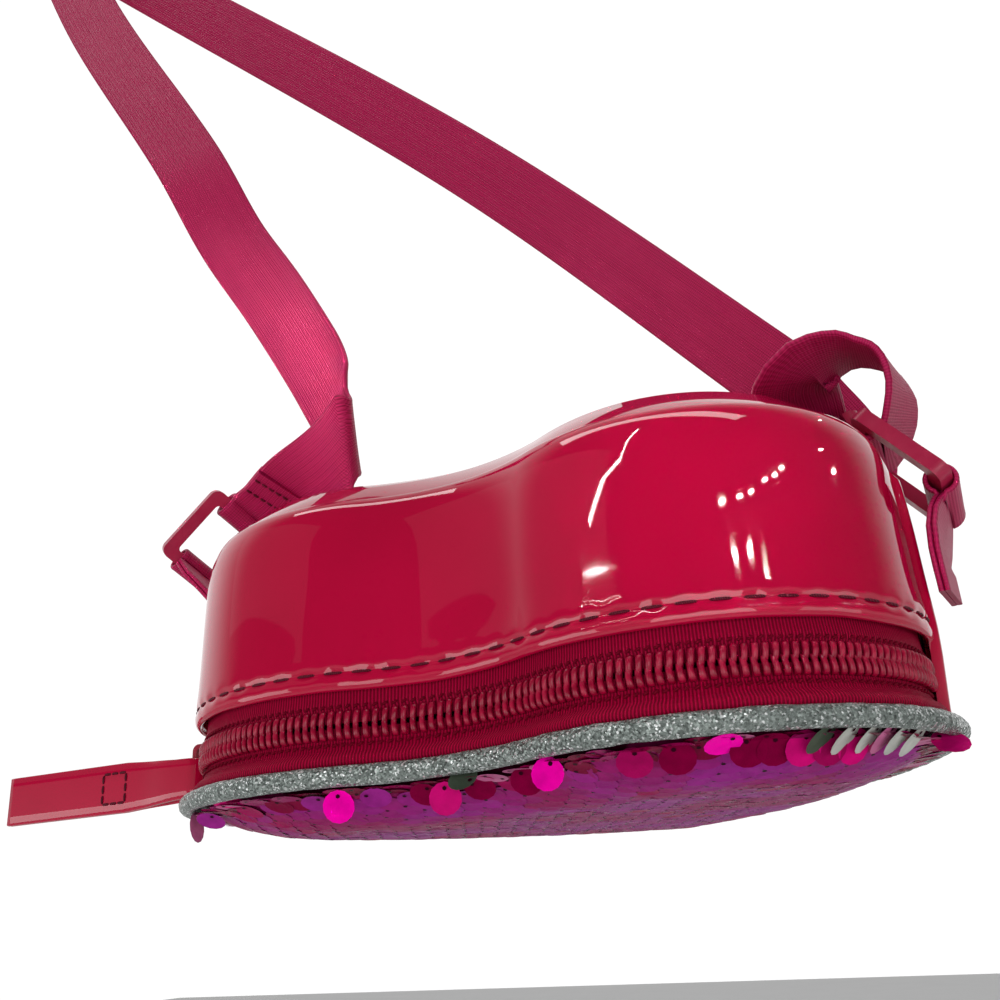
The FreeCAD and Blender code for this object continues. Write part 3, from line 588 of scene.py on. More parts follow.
verts, faces = dome(18, 5.4, 7.0, 55.5, 1, 12.0)
pad = make("back_pad", verts, faces, "vinyl", "purse", "back_panel", "back_foam", "back_board", uvs=flat_uvs(verts))

verts, faces = dome(22, FRONT_INSET, FRONT_HEIGHT, FRONT_Z, -1, FRONT_REACH)
for part, body, low, high in (("flap", "front_flap", LEAST_Y, FLAP_Y), ("fixed", "purse", FIXED_Y, MOST_Y)):
    points, kept = cut_rows(verts, faces, low, high)
    # Within 7 mm of the rim the pad is painted near black as painted shade under the piping; further in it is mauve
    tints = [(*(PAINTED_RIM_SHADE if edge_distance(v.x, v.y) < 7 else MAUVE), 1.0) for v in points]
    pad = make("front_pad_" + part, points, [f[::-1] for f in kept], "sequin", body, "sequin_panel_" + part,
               "front_foam_" + part, uvs=flat_uvs(points), tints=tints)


def flat_lining(node, inset, z, low, high, body, sign):
    """A lining sheet with a little slack."""
    def level(x, y, pull):
        return z + sign * 0.3 * (1 + lump(x, y, z, 17, 4.4)) * min(pull * 6, 1)

    points, kept = cut_rows(*drawn(4.0, inset, 8, 1, level), low, high)
    make(node + "_cloth", points, kept, "lining", body, node, uvs=flat_uvs(points))


flat_lining("back_lining", 6.0, 53.9, LEAST_Y, MOST_Y, "purse", -1)
flat_lining("front_lining_flap", 2.9, 0.5, LEAST_Y, FLAP_Y, "front_flap", 1)
flat_lining("front_lining_fixed", 2.9, 0.5, FIXED_Y, MOST_Y, "purse", 1)


def lining_slack(s, inset, z):
    x, y = heart(s)[0]
    return 0.25 * (1 + lump(x, y, z, 15, 9.1)) * clamp((z - 3) / 4), 0.0


LINING_BAND = [(2.9, 22.0)] + [(2.85 + 0.03 * (z - 22), z) for z in spread(24, 51, 3)] + [(5.0, 53.6)]
LINING_LOWER = [(3.4, 2.4), (3.2, 6), (2.9, 12), (2.75, 18), (2.8, 26), (3, 34), (3.3, 42), (3.7, 49),
                (5, 53.6)]
sweep("lining_band_cloth", spread(-SEAM_S, SEAM_S, 2.0), LINING_BAND, "lining", "purse", "lining_band",
      wobble=lining_slack)
sweep("lining_lower_cloth", around[::2], LINING_LOWER, "lining", "purse", "lining_lower",
      wobble=lining_slack, uvs=[(2 * k, z) for k in range(len(around[::2])) for i, z in LINING_LOWER])


# Piping

PIPING_SIDES = 14


def piping(node, stops, body):
    """A lumpy glitter cord along a stretch of the outline."""
    rows = []
    for s in stops:
        x, y = heart(s)[0]
        size = 1.86 + 0.12 * lump(x, y, 0, 7, 6.2) + 0.08 * lump(x, y, 0, 3, 1.9)
        lift = 0.12 * lump(x, y, 0, 18, 8.8)
        ring = []
        for cos, sin in circle(PIPING_SIDES):
            wide = size * (1 + 0.05 * lump(x, y, 10 * cos, 2.2, 3.3))
            ring.append(on_heart(s, -wide * cos, wide * sin + lift))
        rows.append(ring)
    uvs = [(s, k) for s in stops for k in range(PIPING_SIDES)]
    make(node + "_cord", *grid(rows, True, 1), "glitter", body, node, uvs=uvs)


piping("piping_flap", spread(-FLAP_S, FLAP_S, 1.0), "front_flap")
piping("piping_fixed", past_tip(FIXED_S, 1.0), "purse")


# Zip

def tape_slack(s, inset, z):
    x, y = heart(s)[0]
    low = clamp((8 - z) / 5)
    return low * 0.25 * lump(x, y, z, 8, 5.5), low * 0.2 * lump(x, y, z, 11, 1.5)


def lobe_s(y):
    """How far round the lobe's outer flank a place at y lies, for the zip's own line."""
    lobe_start = NOTCH_R * abs(ARCS[0][4] - ARCS[0][3])
    turn = math.asin(y / (LOBE_R - TAPE_INSET))
    return lobe_start + LOBE_R * (turn - ARCS[1][3])


TAPE_BACK = [(3.5, 21.5), (3.45, 18), (3.35, 16), (3.2, 14.5), (3.05, 13.6), (3.15, 13.1), (3.4, 12.7), (3.45, 11.4),
             (3.5, 10.1)]
TAPE_FRONT = [(3.5, 9.1), (3.45, 7.6), (3.4, 6.5), (3.2, 6.05), (3, 5.6), (2.85, 5), (2.3, 4.5), (1.5, 4),
              (0.95, 3.4), (0.75, 2.75), (0.95, 2.15), (1.5, 1.75), (2.1, 1.4)]
TAPE_PARK = [(3.5, 9.1), (3.45, 7), (3.5, 5.5)]
PARK_S = lobe_s(-13.2)
CHAIN_S = lobe_s(7.6)
for node, low, high, profile, body, wobble in (
    ("zip_tape_back", -SEAM_S, SEAM_S, TAPE_BACK, "purse", tape_slack),
    ("zip_tape_front", -PARK_S, FLAP_S, TAPE_FRONT, "front_flap", tape_slack),
    ("zip_tape_park", -lobe_s(8.9), -PARK_S, TAPE_PARK, "purse", None),
):
    sweep(node + "_cloth", spread(low, high, 1.2), profile, "zip_tape", body, node, wobble=wobble)

PITCH = 1.75
# One turn of the coil: across the chain, out of the tape, half its width.
COIL_TURN = [(-0.2, 0.55, 0.42), (0.25, 0.95, 0.52), (0.9, 1.18, 0.56), (1.6, 1.22, 0.56), (2.2, 1.18, 0.6),
             (2.75, 0.98, 0.62), (3.05, 0.55, 0.5)]


def coil(node, low, high, sign, body):
    """A row of coil turns on one side of the chain, half a pitch from the other row."""
    rows = [[Vector((half * cos, lift + 0.46 * sin, sign * across)) for cos, sin in circle(8)]
            for across, lift, half in COIL_TURN]
    turn_verts, turn_faces = grid(rows, True, 1)
    turn_faces = [f[::sign] for f in turn_faces]
    middle = CHAIN_Z - 0.35 * sign
    heap = Heap()
    for s in spread(low, high, PITCH):
        place, out = heart(s if sign > 0 else s + 0.5 * PITCH)
        points = []
        for v in turn_verts:
            step = v.x + 0.12 * sign * v.z
            side = TAPE_INSET - v.y
            points.append(Vector((place.x - out.x * side - out.y * step, place.y - out.y * side + out.x * step,
                                  middle + v.z)))
        heap.add(points, turn_faces)
    make(node + "_turns", heap.verts, heap.faces, "zip_coil", body, node)


coil("zip_coil_back", -CHAIN_S, CHAIN_S, 1, "purse")
coil("zip_coil_front", -PARK_S + 1.0, FLAP_S - 1.0, -1, "front_flap")
coil("zip_coil_park", -lobe_s(6.6), -PARK_S - 1.0, -1, "purse")

# A short thread: share of its length, share of its radius, rise in radii.
BOW = ((-0.04, 0.35, -0.55), (0.06, 0.85, -0.1), (0.25, 1, 0.12), (0.5, 1, 0.2), (0.75, 1, 0.12),
       (0.94, 0.85, -0.1), (1.04, 0.35, -0.55))


def threads(name, runs, radius, slot, body, *nodes):
    """Many short threads as one piece: each run is a start, an end and the way out of the cloth."""
    heap = Heap()
    for start, end, lift in runs:
        up = lift.normalized()
        across = (end - start).normalized().cross(up)
        rows = []
        for share, size, bow in BOW:
            middle = start + (end - start) * share + up * (bow * radius)
            wide = radius * size
            rows.append([middle + across * (wide * cos) + up * (wide * 0.8 * sin) for cos, sin in circle(6)])
        heap.add(*grid(rows, True, -1))
    make(name, heap.verts, heap.faces, slot, body, *nodes)


runs = []
stop = s_at(3.0)
count = round(2 * stop / STITCH_STEP)
for k in range(count):
    s = -stop + 2 * stop * (k + 0.5) / count
    z = STITCH_Z + hem_slack(s, 1.0, STITCH_Z)[1]
    runs.append((on_heart(s - 1.75, 0.98, z), on_heart(s + 1.75, 0.98, z), out_of(s)))
threads("hem_topstitch_thread", runs, 0.27, "thread", "purse", "hem_topstitch")


def sewing(name, low, high, z, body):
    """The fine thread along one side of the coil."""
    runs = [(on_heart(s - 0.5, 2.95, z - 0.25), on_heart(s + 0.5, 2.95, z + 0.25), out_of(s))
            for s in spread(low, high, PITCH)]
    threads(name, runs, 0.27, "zip_tape", body)


sewing("coil_sewing_back", -CHAIN_S, CHAIN_S, 13.15, "purse")
sewing("coil_sewing_front", -PARK_S + 1.0, FLAP_S - 1.0, 6.0, "front_flap")


# Sequins

RIM, KNOT_RIM = circle(14), circle(6)


def sequin(place, normal, hang, radius):
    """One cupped sequin, with the thread's knot in its hole near the sewn edge: verts and faces."""
    up = normal.normalized()
    way = squared(hang, up)
    side = up.cross(way)
    centre = place + way * (radius * 0.62)

    def ring(middle, size, lift, steps):
        return [middle + way * (size * cos) + side * (size * sin) + up * lift for cos, sin in steps]

    verts = ring(centre, radius, 0.0, RIM) + ring(centre, radius * 0.62, -0.07, RIM) + [centre + up * -0.1]
    faces = []
    inner = len(RIM)
    for k in range(inner):
        m = (k + 1) % inner
        faces += [(k, m, inner + m, inner + k), (inner + k, inner + m, 2 * inner)]
    faces.append(tuple(range(len(verts), len(verts) + len(KNOT_RIM))))
    return verts + ring(place, 0.42, 0.12, KNOT_RIM), faces


def sequins(name, items, body, *nodes):
    """Joins sequins into one piece."""
    heap, tints = Heap(), []
    for *spot, tint in items:
        heap.add(*sequin(*spot))
        tints += [(*tint, 1.0)] * (2 * len(RIM) + 1) + [(*KNOT, 1.0)] * len(KNOT_RIM)
    make(name, heap.verts, heap.faces, "sequin", body, *nodes, tints=tints)


def front_surface(x, y):
    """Level and downward normal of the padded front."""
    def level(px, py):
        return FRONT_Z - FRONT_HEIGHT * rise(px, py, FRONT_INSET, FRONT_REACH)[0]

    step = 0.6
    slope_x = (level(x + step, y) - level(x - step, y)) / (2 * step)
    slope_y = (level(x, y + step) - level(x, y - step)) / (2 * step)
    return level(x, y), Vector((slope_x, slope_y, -1)).normalized()


TO_VIEWER = (0.35, -0.9, -0.25)
EDGE_ON = (0.65, -0.05, -0.76)
LEANING = (-0.64, 0.0, -0.77)
# Sequins that hang free: along the outline, inset, level, face, hanging way, radius, colour.
HANGING = [
    (-22, 2.6, -3.2, TO_VIEWER, DOWN, 3, HOT),
    (-2.5, 2.8, -3.4, TO_VIEWER, DOWN, 3, PINK),
    (21.2, 2.8, -2.4, (0.62, -0.75, -0.25), (-0.25, -0.1, -1), 2.8, HOT),
    (3.6, 1.2, -2.9, (0.1, -0.75, 0.65), (-0.5, -0.5, 0.7), 2.8, GREEN),
    (12, 4.4, -2.6, (0.2, -0.75, -0.6), (0.3, 0.1, -1), 2.9, WINE),
    (38, 4.6, -2.7, (0.2, -0.7, -0.7), (-0.2, 0.2, -1), 3, BERRY),
    (45, 4.8, -2.8, (0.3, -0.7, -0.65), (0.2, 0.2, -1), 3, WINE),
    (55, 2.4, -2.3, (0.25, -0.28, -0.92), (-0.9, 0.3, -0.35), 3.1, HOT),
    (57.5, 4.6, -2.6, (0.35, -0.65, -0.65), (0.1, 0.2, -1), 3, WINE),
    (62.5, 4.6, -2.6, (0.4, -0.6, -0.65), (0, 0.2, -1), 3, WINE),
    (68, 4.4, -2.4, (0.55, -0.62, -0.55), (-0.2, 0.1, -1), 3.1, PINK),
    (73, 4.4, -2.3, (0.6, -0.6, -0.5), (-0.2, 0.1, -1), 3.1, BERRY),
    (78, 4.3, -2.2, (0.68, -0.52, -0.5), (-0.2, 0.1, -1), 3.1, PINK),
    (71, 2, -1.8, (0.62, -0.1, -0.78), LEANING, 3.1, GREEN),
    *((s, 2, level, EDGE_ON, LEANING, 3.2, tint) for s, level, tint in (
        (75.5, -1.8, SILVER), (80.5, -1.6, SILVER), (84, -1.6, ROSE), (87.5, -1.7, SILVER), (92, -1.8, SILVER))),
    (101, 2.2, -1.8, (0.3, -0.6, 0.75), (0.8, -0.2, -0.5), 3.2, PINK),
    (103.5, 2.6, -2, (0.5, -0.5, -0.7), (0.9, 0, -0.4), 3, BERRY),
    (-73.5, 1.8, -2.2, (-0.95, -0.3, -0.1), (-0.05, 0, -1), 3.2, ROSE),
    (-64, 4.2, -3, (0.1, -0.45, -0.88), (-0.4, 0.2, -0.6), 3, VIOLET),
    (-52, 2.6, -2.1, (0.1, -0.16, -0.98), (0.9, -0.2, 0.1), 3.2, PINK),
    (-27, 4.6, -3.2, (0.1, -0.35, -0.93), (-0.6, 0.5, -0.4), 3, VIOLET),
    (-17, 4.8, -3.2, (0.2, -0.45, -0.88), (0.6, 0.5, -0.5), 3, VIOLET),
    (-6.5, 4.6, -2.9, (0.1, -0.6, -0.78), (-0.5, 0.2, -0.8), 2.9, WINE),
    (1.5, 5, -3, (0.2, -0.6, -0.78), (0.5, 0.2, -0.8), 2.9, WINE),
]


def edge_items():
    """Sequins inside the piping: a row that lies flat, a looser row behind it and the ones that hang free."""
    rng = random.Random(7)
    flap, fixed = [], []

    def add(s, inset, level, face, hang, radius, tint):
        place = on_heart(s, inset, level)
        (flap if place.y < FLAP_Y - 1 else fixed).append((place, Vector(face), Vector(hang), radius, tint))

    def loose(s, sway, least, most):
        """A stop moved a little, with the face and the hanging way of a sequin that tilts there."""
        s += rng.uniform(-sway, sway)
        out = out_of(s)
        tilt = rng.uniform(least, most)
        aside = Vector((-out.y, out.x, 0)) * rng.uniform(-0.5, 0.5)
        return s, DOWN * math.cos(tilt) + out * math.sin(tilt), aside - out

    for s in spread(-HALF + 2, HALF - 2, 4.2):
        s, face, hang = loose(s, 0.8, -0.02, 0.16)
        level = -2.0 - rng.uniform(0, 0.5)
        add(s, 2.7, level, face, hang, rng.uniform(2.9, 3.1), rng.choice([ROSE, WINE, WINE, BERRY, MAUVE]))
    for s in spread(-HALF + 2, HALF - 2, 5.2):
        s, face, hang = loose(s, 1.2, 0.12, 0.4)
        if rng.random() < 0.6:
            add(s, 6.0, -2.7, face, hang, 2.9, rng.choice([WINE, WINE, BERRY, MAUVE]))
    for item in HANGING:
        add(*item)
    return flap, fixed


def field_items():
    """The overlapping field of sequins over the padded front."""
    rng = random.Random(11)
    flap, fixed = [], []
    y, row = -44.0, 0
    while y < 104:
        x = -80.0 + (2.2 if row % 2 else 0)
        while x < 80:
            px, py = x + rng.uniform(-0.3, 0.3), y + rng.uniform(-0.3, 0.3)
            if inside_heart(px, py) and edge_distance(px, py) > 6.5:
                z, normal = front_surface(px, py)
                tip = Vector((rng.uniform(-0.02, 0.02), rng.uniform(-0.04, 0.0), 0))
                hang = Vector((rng.uniform(-0.3, 0.3), 1.0, 0))
                share = clamp(0.5 + 1.1 * lump(px, py, 0, 15, 4.7) + rng.uniform(-0.25, 0.25))
                tint = Vector(MAUVE).lerp(Vector(VIOLET), share)
                if rng.random() < 0.04:
                    tint = Vector(BERRY)
                item = (Vector((px, py, z - 0.35)), (normal + tip).normalized(), hang, 2.8, tint)
                (fixed if py > FIXED_Y - 0.5 else flap).append(item)
            x += 4.4
        y += 3.6
        row += 1
    return flap, fixed


flap_items, fixed_items = edge_items()
sequins("edge_sequins_flap_discs", flap_items, "front_flap", "edge_sequins_flap")
sequins("edge_sequins_fixed_discs", fixed_items, "purse", "edge_sequins_fixed")
flap_items, fixed_items = field_items()
sequins("sequin_field_flap", flap_items, "front_flap")
sequins("sequin_field_fixed", fixed_items, "purse")


# Strap

STRAP_W, STRAP_T = 20.0, 1.4
TAB_W, TAB_T = 19.0, 1.0
RING_BAR, RING_THICK, RING_REACH = 3.2, 3.0, 19.0
BORE = math.hypot(RING_BAR, RING_THICK) / 2 + 0.15
LEAST_SLANT = 0.38


class Ring:
    """Where a ring's bars lie."""

    def __init__(self, bar, side, reach):
        self.tab_bar = Vector(bar)
        self.side = Vector(side).normalized()
        self.reach = squared(Vector(reach), self.side)
        self.face = self.side.cross(self.reach)
        self.strap_bar = self.tab_bar + self.reach * RING_REACH


LEFT = Ring((-98.0, 2.0, 63.5), (0.25, 0.83, -0.5), (0.66, 0.253, 0.75))
RIGHT = Ring((84.9, 19.5, 47.2), (-0.08, 0.98, -0.1), (-0.62, 0.0, 0.78))


def eased(values, knots, index, share):
    """A point of the smooth curve through values."""
    slopes = []
    for place in (index, index + 1):
        low, high = max(place - 1, 0), min(place + 1, len(values) - 1)
        slopes.append((values[high] - values[low]) / (knots[high] - knots[low]))
    width = knots[index + 1] - knots[index]
    rest = 1 - share
    return (values[index] * ((1 + 2 * share) * rest ** 2) + values[index + 1] * (share ** 2 * (3 - 2 * share))
            + slopes[0] * (width * share * rest ** 2) + slopes[1] * (width * share ** 2 * (share - 1)))


def way_at(places, index):
    """The direction of a line of places at one of them."""
    return (places[min(index + 1, len(places) - 1)] - places[max(index - 1, 0)]).normalized()


def stations(points, sides, slants=None, step=2.0):
    """Frames along a band and where each given point falls among them; a slant keeps a diagonal fold's skew."""
    points = [Vector(p) for p in points]
    sides = [Vector(s).normalized() for s in sides]
    slants = slants or [0.0] * len(points)
    knots = [0.0]
    for a, b in zip(points, points[1:]):
        knots.append(knots[-1] + math.sqrt((b - a).length))
    stops, marks = [], []
    for index in range(len(points) - 1):
        marks.append(len(stops))
        count = max(2, round((points[index + 1] - points[index]).length / step))
        for share in (part / count for part in range(count)):
            slant = slants[index] + (slants[index + 1] - slants[index]) * share
            stops.append((eased(points, knots, index, share), eased(sides, knots, index, share), slant))
    marks.append(len(stops))
    stops.append((points[-1], sides[-1], slants[-1]))
    places = [stop[0] for stop in stops]
    frames = []
    for index, (centre, across, slant) in enumerate(stops):
        way = way_at(places, index)
        across = across.normalized()
        across = (across - way * (across.dot(way) * (1 - slant))).normalized()
        narrow = max(math.sqrt(1 - min(across.dot(way) ** 2, 1)), LEAST_SLANT)
        frames.append((centre, across / narrow, way, way.cross(across).normalized()))
    return frames, marks


# In from the webbing's edge, share of half its thickness.
SELVEDGE = ((0.05, 0.3), (0.25, 0.8), (0.7, 1.05), (1.5, 0.95))


def web_section(width, thick):
    """Outline of webbing: flat faces, rounded edges with a slight selvedge."""
    half, lift = width / 2, thick / 2
    left = [(-half + inset, share * lift) for inset, share in SELVEDGE] + [(-half / 2, lift * 0.92)]
    top = left + [(0, lift * 0.92)] + [(-a, b) for a, b in reversed(left)]
    return top + [(a, -b) for a, b in reversed(top)]


def web(name, frames, body, *nodes, start=0.0, width=STRAP_W, thick=STRAP_T, waves=0.12, caps=False):
    """A strip of webbing through frames."""
    section = web_section(width, thick)
    rows, uvs = [], []
    for (centre, across, way, face), along in zip(frames, lengths([f[0] for f in frames])):
        row = []
        for side, lift in section:
            soft = waves * lump(along + start, side, 0, 16, 2.2)
            row.append(centre + across * side + face * (lift + soft))
            uvs.append((side, along + start + side * across.dot(way)))
        rows.append(row)
    verts, faces = grid(rows, wrap=True)
    if caps:
        for row, turn in ((rows[0], 1), (rows[-1], -1)):
            faces.append(tuple(range(len(verts), len(verts) + len(row)))[::turn])
            verts = verts + row
            uvs += [(side, 0) for side, lift in section]
    make(name, verts, faces, "webbing", body, *nodes, uvs=uvs)


def sleeve(centre, ring, ply, start, end, count):
    """Frames of a band round a bar, from one angle to another about its side direction."""
    frames = []
    for k in range(count + 1):
        turn = math.radians(start + (end - start) * k / count)
        out = ring.reach * math.cos(turn) + ring.face * math.sin(turn)
        way = ring.face * math.cos(turn) - ring.reach * math.sin(turn)
        frames.append((centre + out * (BORE + ply / 2), ring.side, way, way.cross(ring.side)))
    return frames


def doubled(node, frames, bar, ring, lead, width, ply, gap, flip, body):
    """A band sewn double: one ply out, round a ring's bar and back."""
    turn = math.degrees(math.atan2(lead.dot(ring.face), lead.dot(ring.reach)))
    bend = sleeve(bar, ring, ply, turn + gap, turn + (360 - gap), 22)
    near, far = ([(c + f * (sign * (ply / 2 + 0.02)), a * flip, w, f) for c, a, w, f in frames] for sign in (1, -1))
    if (near[0][0] - bend[0][0]).length > (far[0][0] - bend[0][0]).length:
        near, far = far, near
    loop = near[::-1] + bend + far
    places = [f[0] for f in loop]
    around = []
    for k, (c, a, w, f) in enumerate(loop):
        way = way_at(places, k)
        across = squared(a, way)
        around.append((c, across, way, way.cross(across)))
    web(node + "_web", around, body, node, width=width, thick=ply, waves=0.0, caps=True)


# Routes of the strap: place and side direction.
LEFT_LOWER = [
    ((-70.5, 4, 83.3), (-0.04, -0.87, 0.49)), ((-59, 1, 84.8), (-0.19, -0.58, 0.79)),
    ((-51.5, -1.5, 86.4), (-0.02, -0.42, 0.91)), ((-47.2, -1.8, 89.2), (0.12, -0.35, 0.93)),
    ((-47.5, 1.2, 91.3), (0.12, -0.35, 0.93)), ((-51, 4.2, 95.4), (0.12, -0.35, 0.93)),
    ((-55.1, 4.5, 103.5), (0.37, -0.21, 0.91)), ((-62, 2.4, 118.9), (0.6, -0.04, 0.8)),
    ((-72.4, -2.2, 140), (0.8, 0.16, 0.58)),
]
LEFT_LOWER_SLANTS = [0, 0.5, 1, 1, 1, 1, 1, 1, 0.6]
LEFT_UPPER = [((-83.5, -8.5, 161.3), (0.81, 0.47, 0.34)), ((-95, -17, 190), (0.81, 0.45, 0.37)),
              ((-139, -20, 265), (0.8, 0.3, 0.45))]
CROWN_SIDE, CROWN_R = Vector((0.8, 0.17, 0.5)), 8.0
RIGHT_UPPER = [((-35, 36, 200), (0.79, -0.12, 0.6)), ((47.5, 50, 102.3), (0.79, -0.12, 0.6)),
               ((58, 62, 89), (0.82, -0.05, 0.57)), ((62, 73.5, 80.5), (0.88, 0, 0.45)),
               ((60.6, 73, 73.6), (0.94, 0.05, 0.33))]
SLIDE, SLIDE_SIDE, SLIDE_LIE = Vector((58.0, 46.0, 71.0)), (0.95, 0.06, 0.3), Vector((0.06, 1.0, 0.0)).normalized()
RETURN = [((58.2, 22.6, 70.4), (0.8, 0.58, 0.12)), ((61.6, 19.6, 68.6), (0.4, 0.91, 0))]
LOOP = [((58.2, 31, 78), (0.95, 0.1, 0.27)), ((59.6, 20, 78.6), (0.92, 0.32, 0.18)),
        ((62.6, 14, 79.2), (0.82, 0.56, 0.05)), ((67.1, 13.6, 81), (0.55, 0.83, 0.02)),
        ((73.4, 14.6, 82), (0.24, 0.97, 0.03)), ((79.6, 15.6, 78.4), (0.12, 0.99, 0)),
        ((81.5, 16.6, 72), (0.1, 0.98, -0.1)), ((80.2, 18.4, 66.2), (0.02, 0.98, -0.14))]


def crown_arch():
    side = CROWN_SIDE.normalized()
    rise = squared(UP, side)
    middle = CROWN - rise * CROWN_R
    return [middle + rise.cross(side) * (math.sin(a) * CROWN_R) + rise * (math.cos(a) * CROWN_R)
            for a in map(math.radians, (-75, 0, 75))]


def make_strap():
    radius = BORE + STRAP_T / 2
    fold_way = squared(Vector(LEFT_LOWER[0][0]) - LEFT.strap_bar, LEFT.side)
    fold_start = LEFT.strap_bar + fold_way * radius
    turn_inner = RIGHT.strap_bar - RIGHT.face * radius + RIGHT.reach * 0.3
    turn_outer = RIGHT.strap_bar - RIGHT.reach * radius + RIGHT.face * 0.3
    route = [(fold_start, -LEFT.side), (fold_start + fold_way * 5.0, -LEFT.side)] + LEFT_LOWER + LEFT_UPPER
    route += [(place, CROWN_SIDE) for place in crown_arch()] + RIGHT_UPPER
    route += [(SLIDE + SLIDE_LIE * (6.0 * k), SLIDE_SIDE) for k in range(3, -4, -1)] + RETURN
    route += [(turn_inner + RIGHT.reach * 5.0, RIGHT.side), (turn_inner, RIGHT.side)]
    slants = [0.0] * 2 + LEFT_LOWER_SLANTS
    frames, marks = stations(*zip(*route), slants + [0.0] * (len(route) - len(slants)))
    fold = 2
    bend = fold + len(LEFT_LOWER) - 1
    top = bend + len(LEFT_UPPER) + 2
    middle = top + 1 + len(RIGHT_UPPER) + 1 + 3
    run = lengths([f[0] for f in frames])

    for node, low, high, body in (
        ("strap_left_lower", fold, bend, ("left_ring", "purse", LEFT_LOWER[0][0], LEFT_LOWER[-1][0])),
        ("strap_left_upper", bend, top, "purse"),
        ("strap_right_upper", top, middle, "purse"),
        ("strap_return", middle, -1, ("purse", "right_ring", (60.0, 28.0, 70.0), (62.8, 23.3, 68.9))),
    ):
        web(node + "_web", frames[marks[low]:marks[high] + 1], body, node, start=run[marks[low]])
    doubled("strap_left_fold", frames[:marks[fold] + 1], LEFT.strap_bar, LEFT, fold_way, STRAP_W, STRAP_T, 24, -1,
            "left_ring")
    runs = []
    for share in (0.25, 0.8):
        centre, across, way, face = frames[marks[1] + round((marks[fold] - marks[1]) * share)]
        for side in (-1, 1):
            for step in range(9):
                place = centre + across * ((step - 4) * 2.15) + face * (side * (STRAP_T + 0.12))
                runs.append((place - across * 0.75, place + across * 0.75, face * side))
    threads("strap_fold_thread", runs, 0.34, "thread", "left_ring", "strap_fold_stitch")

    # Slack curl from the slide to the right ring
    centre, across, way, face = frames[marks[middle]]
    upper = face if face.z > 0 else -face
    start = centre + upper * (STRAP_T + 2.2 + 0.6)
    lead = SLIDE_LIE * 1.2
    curl = [(start + lead, across), (start - lead, across)] + LOOP
    curl += [(turn_outer + RIGHT.face * 3.0, RIGHT.side), (turn_outer, RIGHT.side)]
    curl_frames, curl_marks = stations(*zip(*curl))
    split = curl_marks[5]
    along = lengths([f[0] for f in curl_frames])[split]
    web("strap_loop_slide_web", curl_frames[:split + 1], ("strap_slide", "purse", start, LOOP[2][0]), start=30.0)
    curl_top = Vector(LOOP[4][0])
    body = "purse", "right_ring", curl_top, curl_top + Vector((8.1, -4.0, -10.1))
    web("strap_loop_web", curl_frames[split:], body, "strap_loop", start=30.0 + along)
    quarter = sleeve(RIGHT.strap_bar, RIGHT, STRAP_T, 180, 270, 8)
    web("strap_right_turn_web", quarter, "right_ring", "strap_right_turn", waves=0.0)


def tab(node, ring, root):
    """A doubled web tab from a ring to its side seam."""
    root = Vector(root)
    lead = squared(root - ring.tab_bar, ring.side)
    start = ring.tab_bar + lead * (BORE + TAB_T / 2)
    points = [start, start + lead * 4.0, root, root - UP * 9.0]
    frames, marks = stations(points, [ring.side, ring.side, (0, 1, 0), (0, 1, 0)])
    doubled(node, frames, ring.tab_bar, ring, lead, TAB_W, TAB_T, 20, 1, "purse")


make_strap()
tab("tab_left", LEFT, (-81.3, 5.0, 45.0))
tab("tab_right", RIGHT, (82.6, 12.0, 34.0))


# Pull

# Along the pull from its eye, half the gap between its plies.
PULL_GAPS = ((58, 0.62), (46, 0.62), (34, 0.62), (24, 0.62), (19, 0.62), (15, 0.75), (12, 1.15),
             (9, 1.75), (6, 2.2), (3, 2.4))
PULL_SECTION = [(-1, -0.25), (-0.985, 0.25), (-0.95, 0.5), (-0.6, 0.5), (0, 0.5), (0.6, 0.5), (0.95, 0.5),
                (0.985, 0.25), (1, -0.25), (0.95, -0.5), (0.6, -0.5), (0, -0.5), (-0.6, -0.5), (-0.95, -0.5)]
PULL_BOX = [(20, -3.6), (27, -3.6), (27, 3.6), (20, 3.6), (20, -3.6)]


def make_pull():
    pivot = Vector((-80.773, -6.69, 9.6))
    turn = math.radians(6.0)
    away = Vector((-math.cos(turn), -math.sin(turn), 0))
    aside = Vector((-away.y, away.x, 0))
    eye = pivot + away * 8.4
    near, far = ([eye + away * x + aside * (side * gap) for x, gap in PULL_GAPS] for side in (1, -1))
    arc = []
    for k in range(9):
        angle = math.radians(90 + 180 * k / 8)
        arc.append(eye + away * (2.4 * math.cos(angle)) + aside * (2.4 * math.sin(angle)))
    path = near + arc + far[::-1]
    frames, marks = stations(path, [UP] * len(path), step=1.2)
    rows, uvs = [], []
    for (centre, across, way, face), along in zip(frames, lengths([f[0] for f in frames])):
        reach = (centre - eye).dot(away)
        half = np.interp(reach, [-3.0, 4.0, 12.0, 20.0, 58.0], [4.6, 4.8, 5.4, 6.0, 6.0])
        rows.append([centre + across * (side * half) + face * (lift * 1.1) for side, lift in PULL_SECTION])
        uvs += [(side * half, along) for side, lift in PULL_SECTION]
    make("pull_strip_vinyl", *grid(rows, True, 1), "vinyl", "zip_pull", "pull_strip", uvs=uvs)
    runs = []
    for side in (-1, 1):
        level = aside * (side * 1.26)
        for (x0, z0), (x1, z1) in zip(PULL_BOX, PULL_BOX[1:]):
            for k in range(3):
                ends = [eye + away * (x0 + (x1 - x0) * share) + UP * (z0 + (z1 - z0) * share) + level
                        for share in ((k + 0.1) / 3, (k + 0.9) / 3)]
                runs.append((*ends, aside * side))
    threads("pull_stitch_thread", runs, 0.32, "thread", "zip_pull", "pull_stitch")


make_pull()

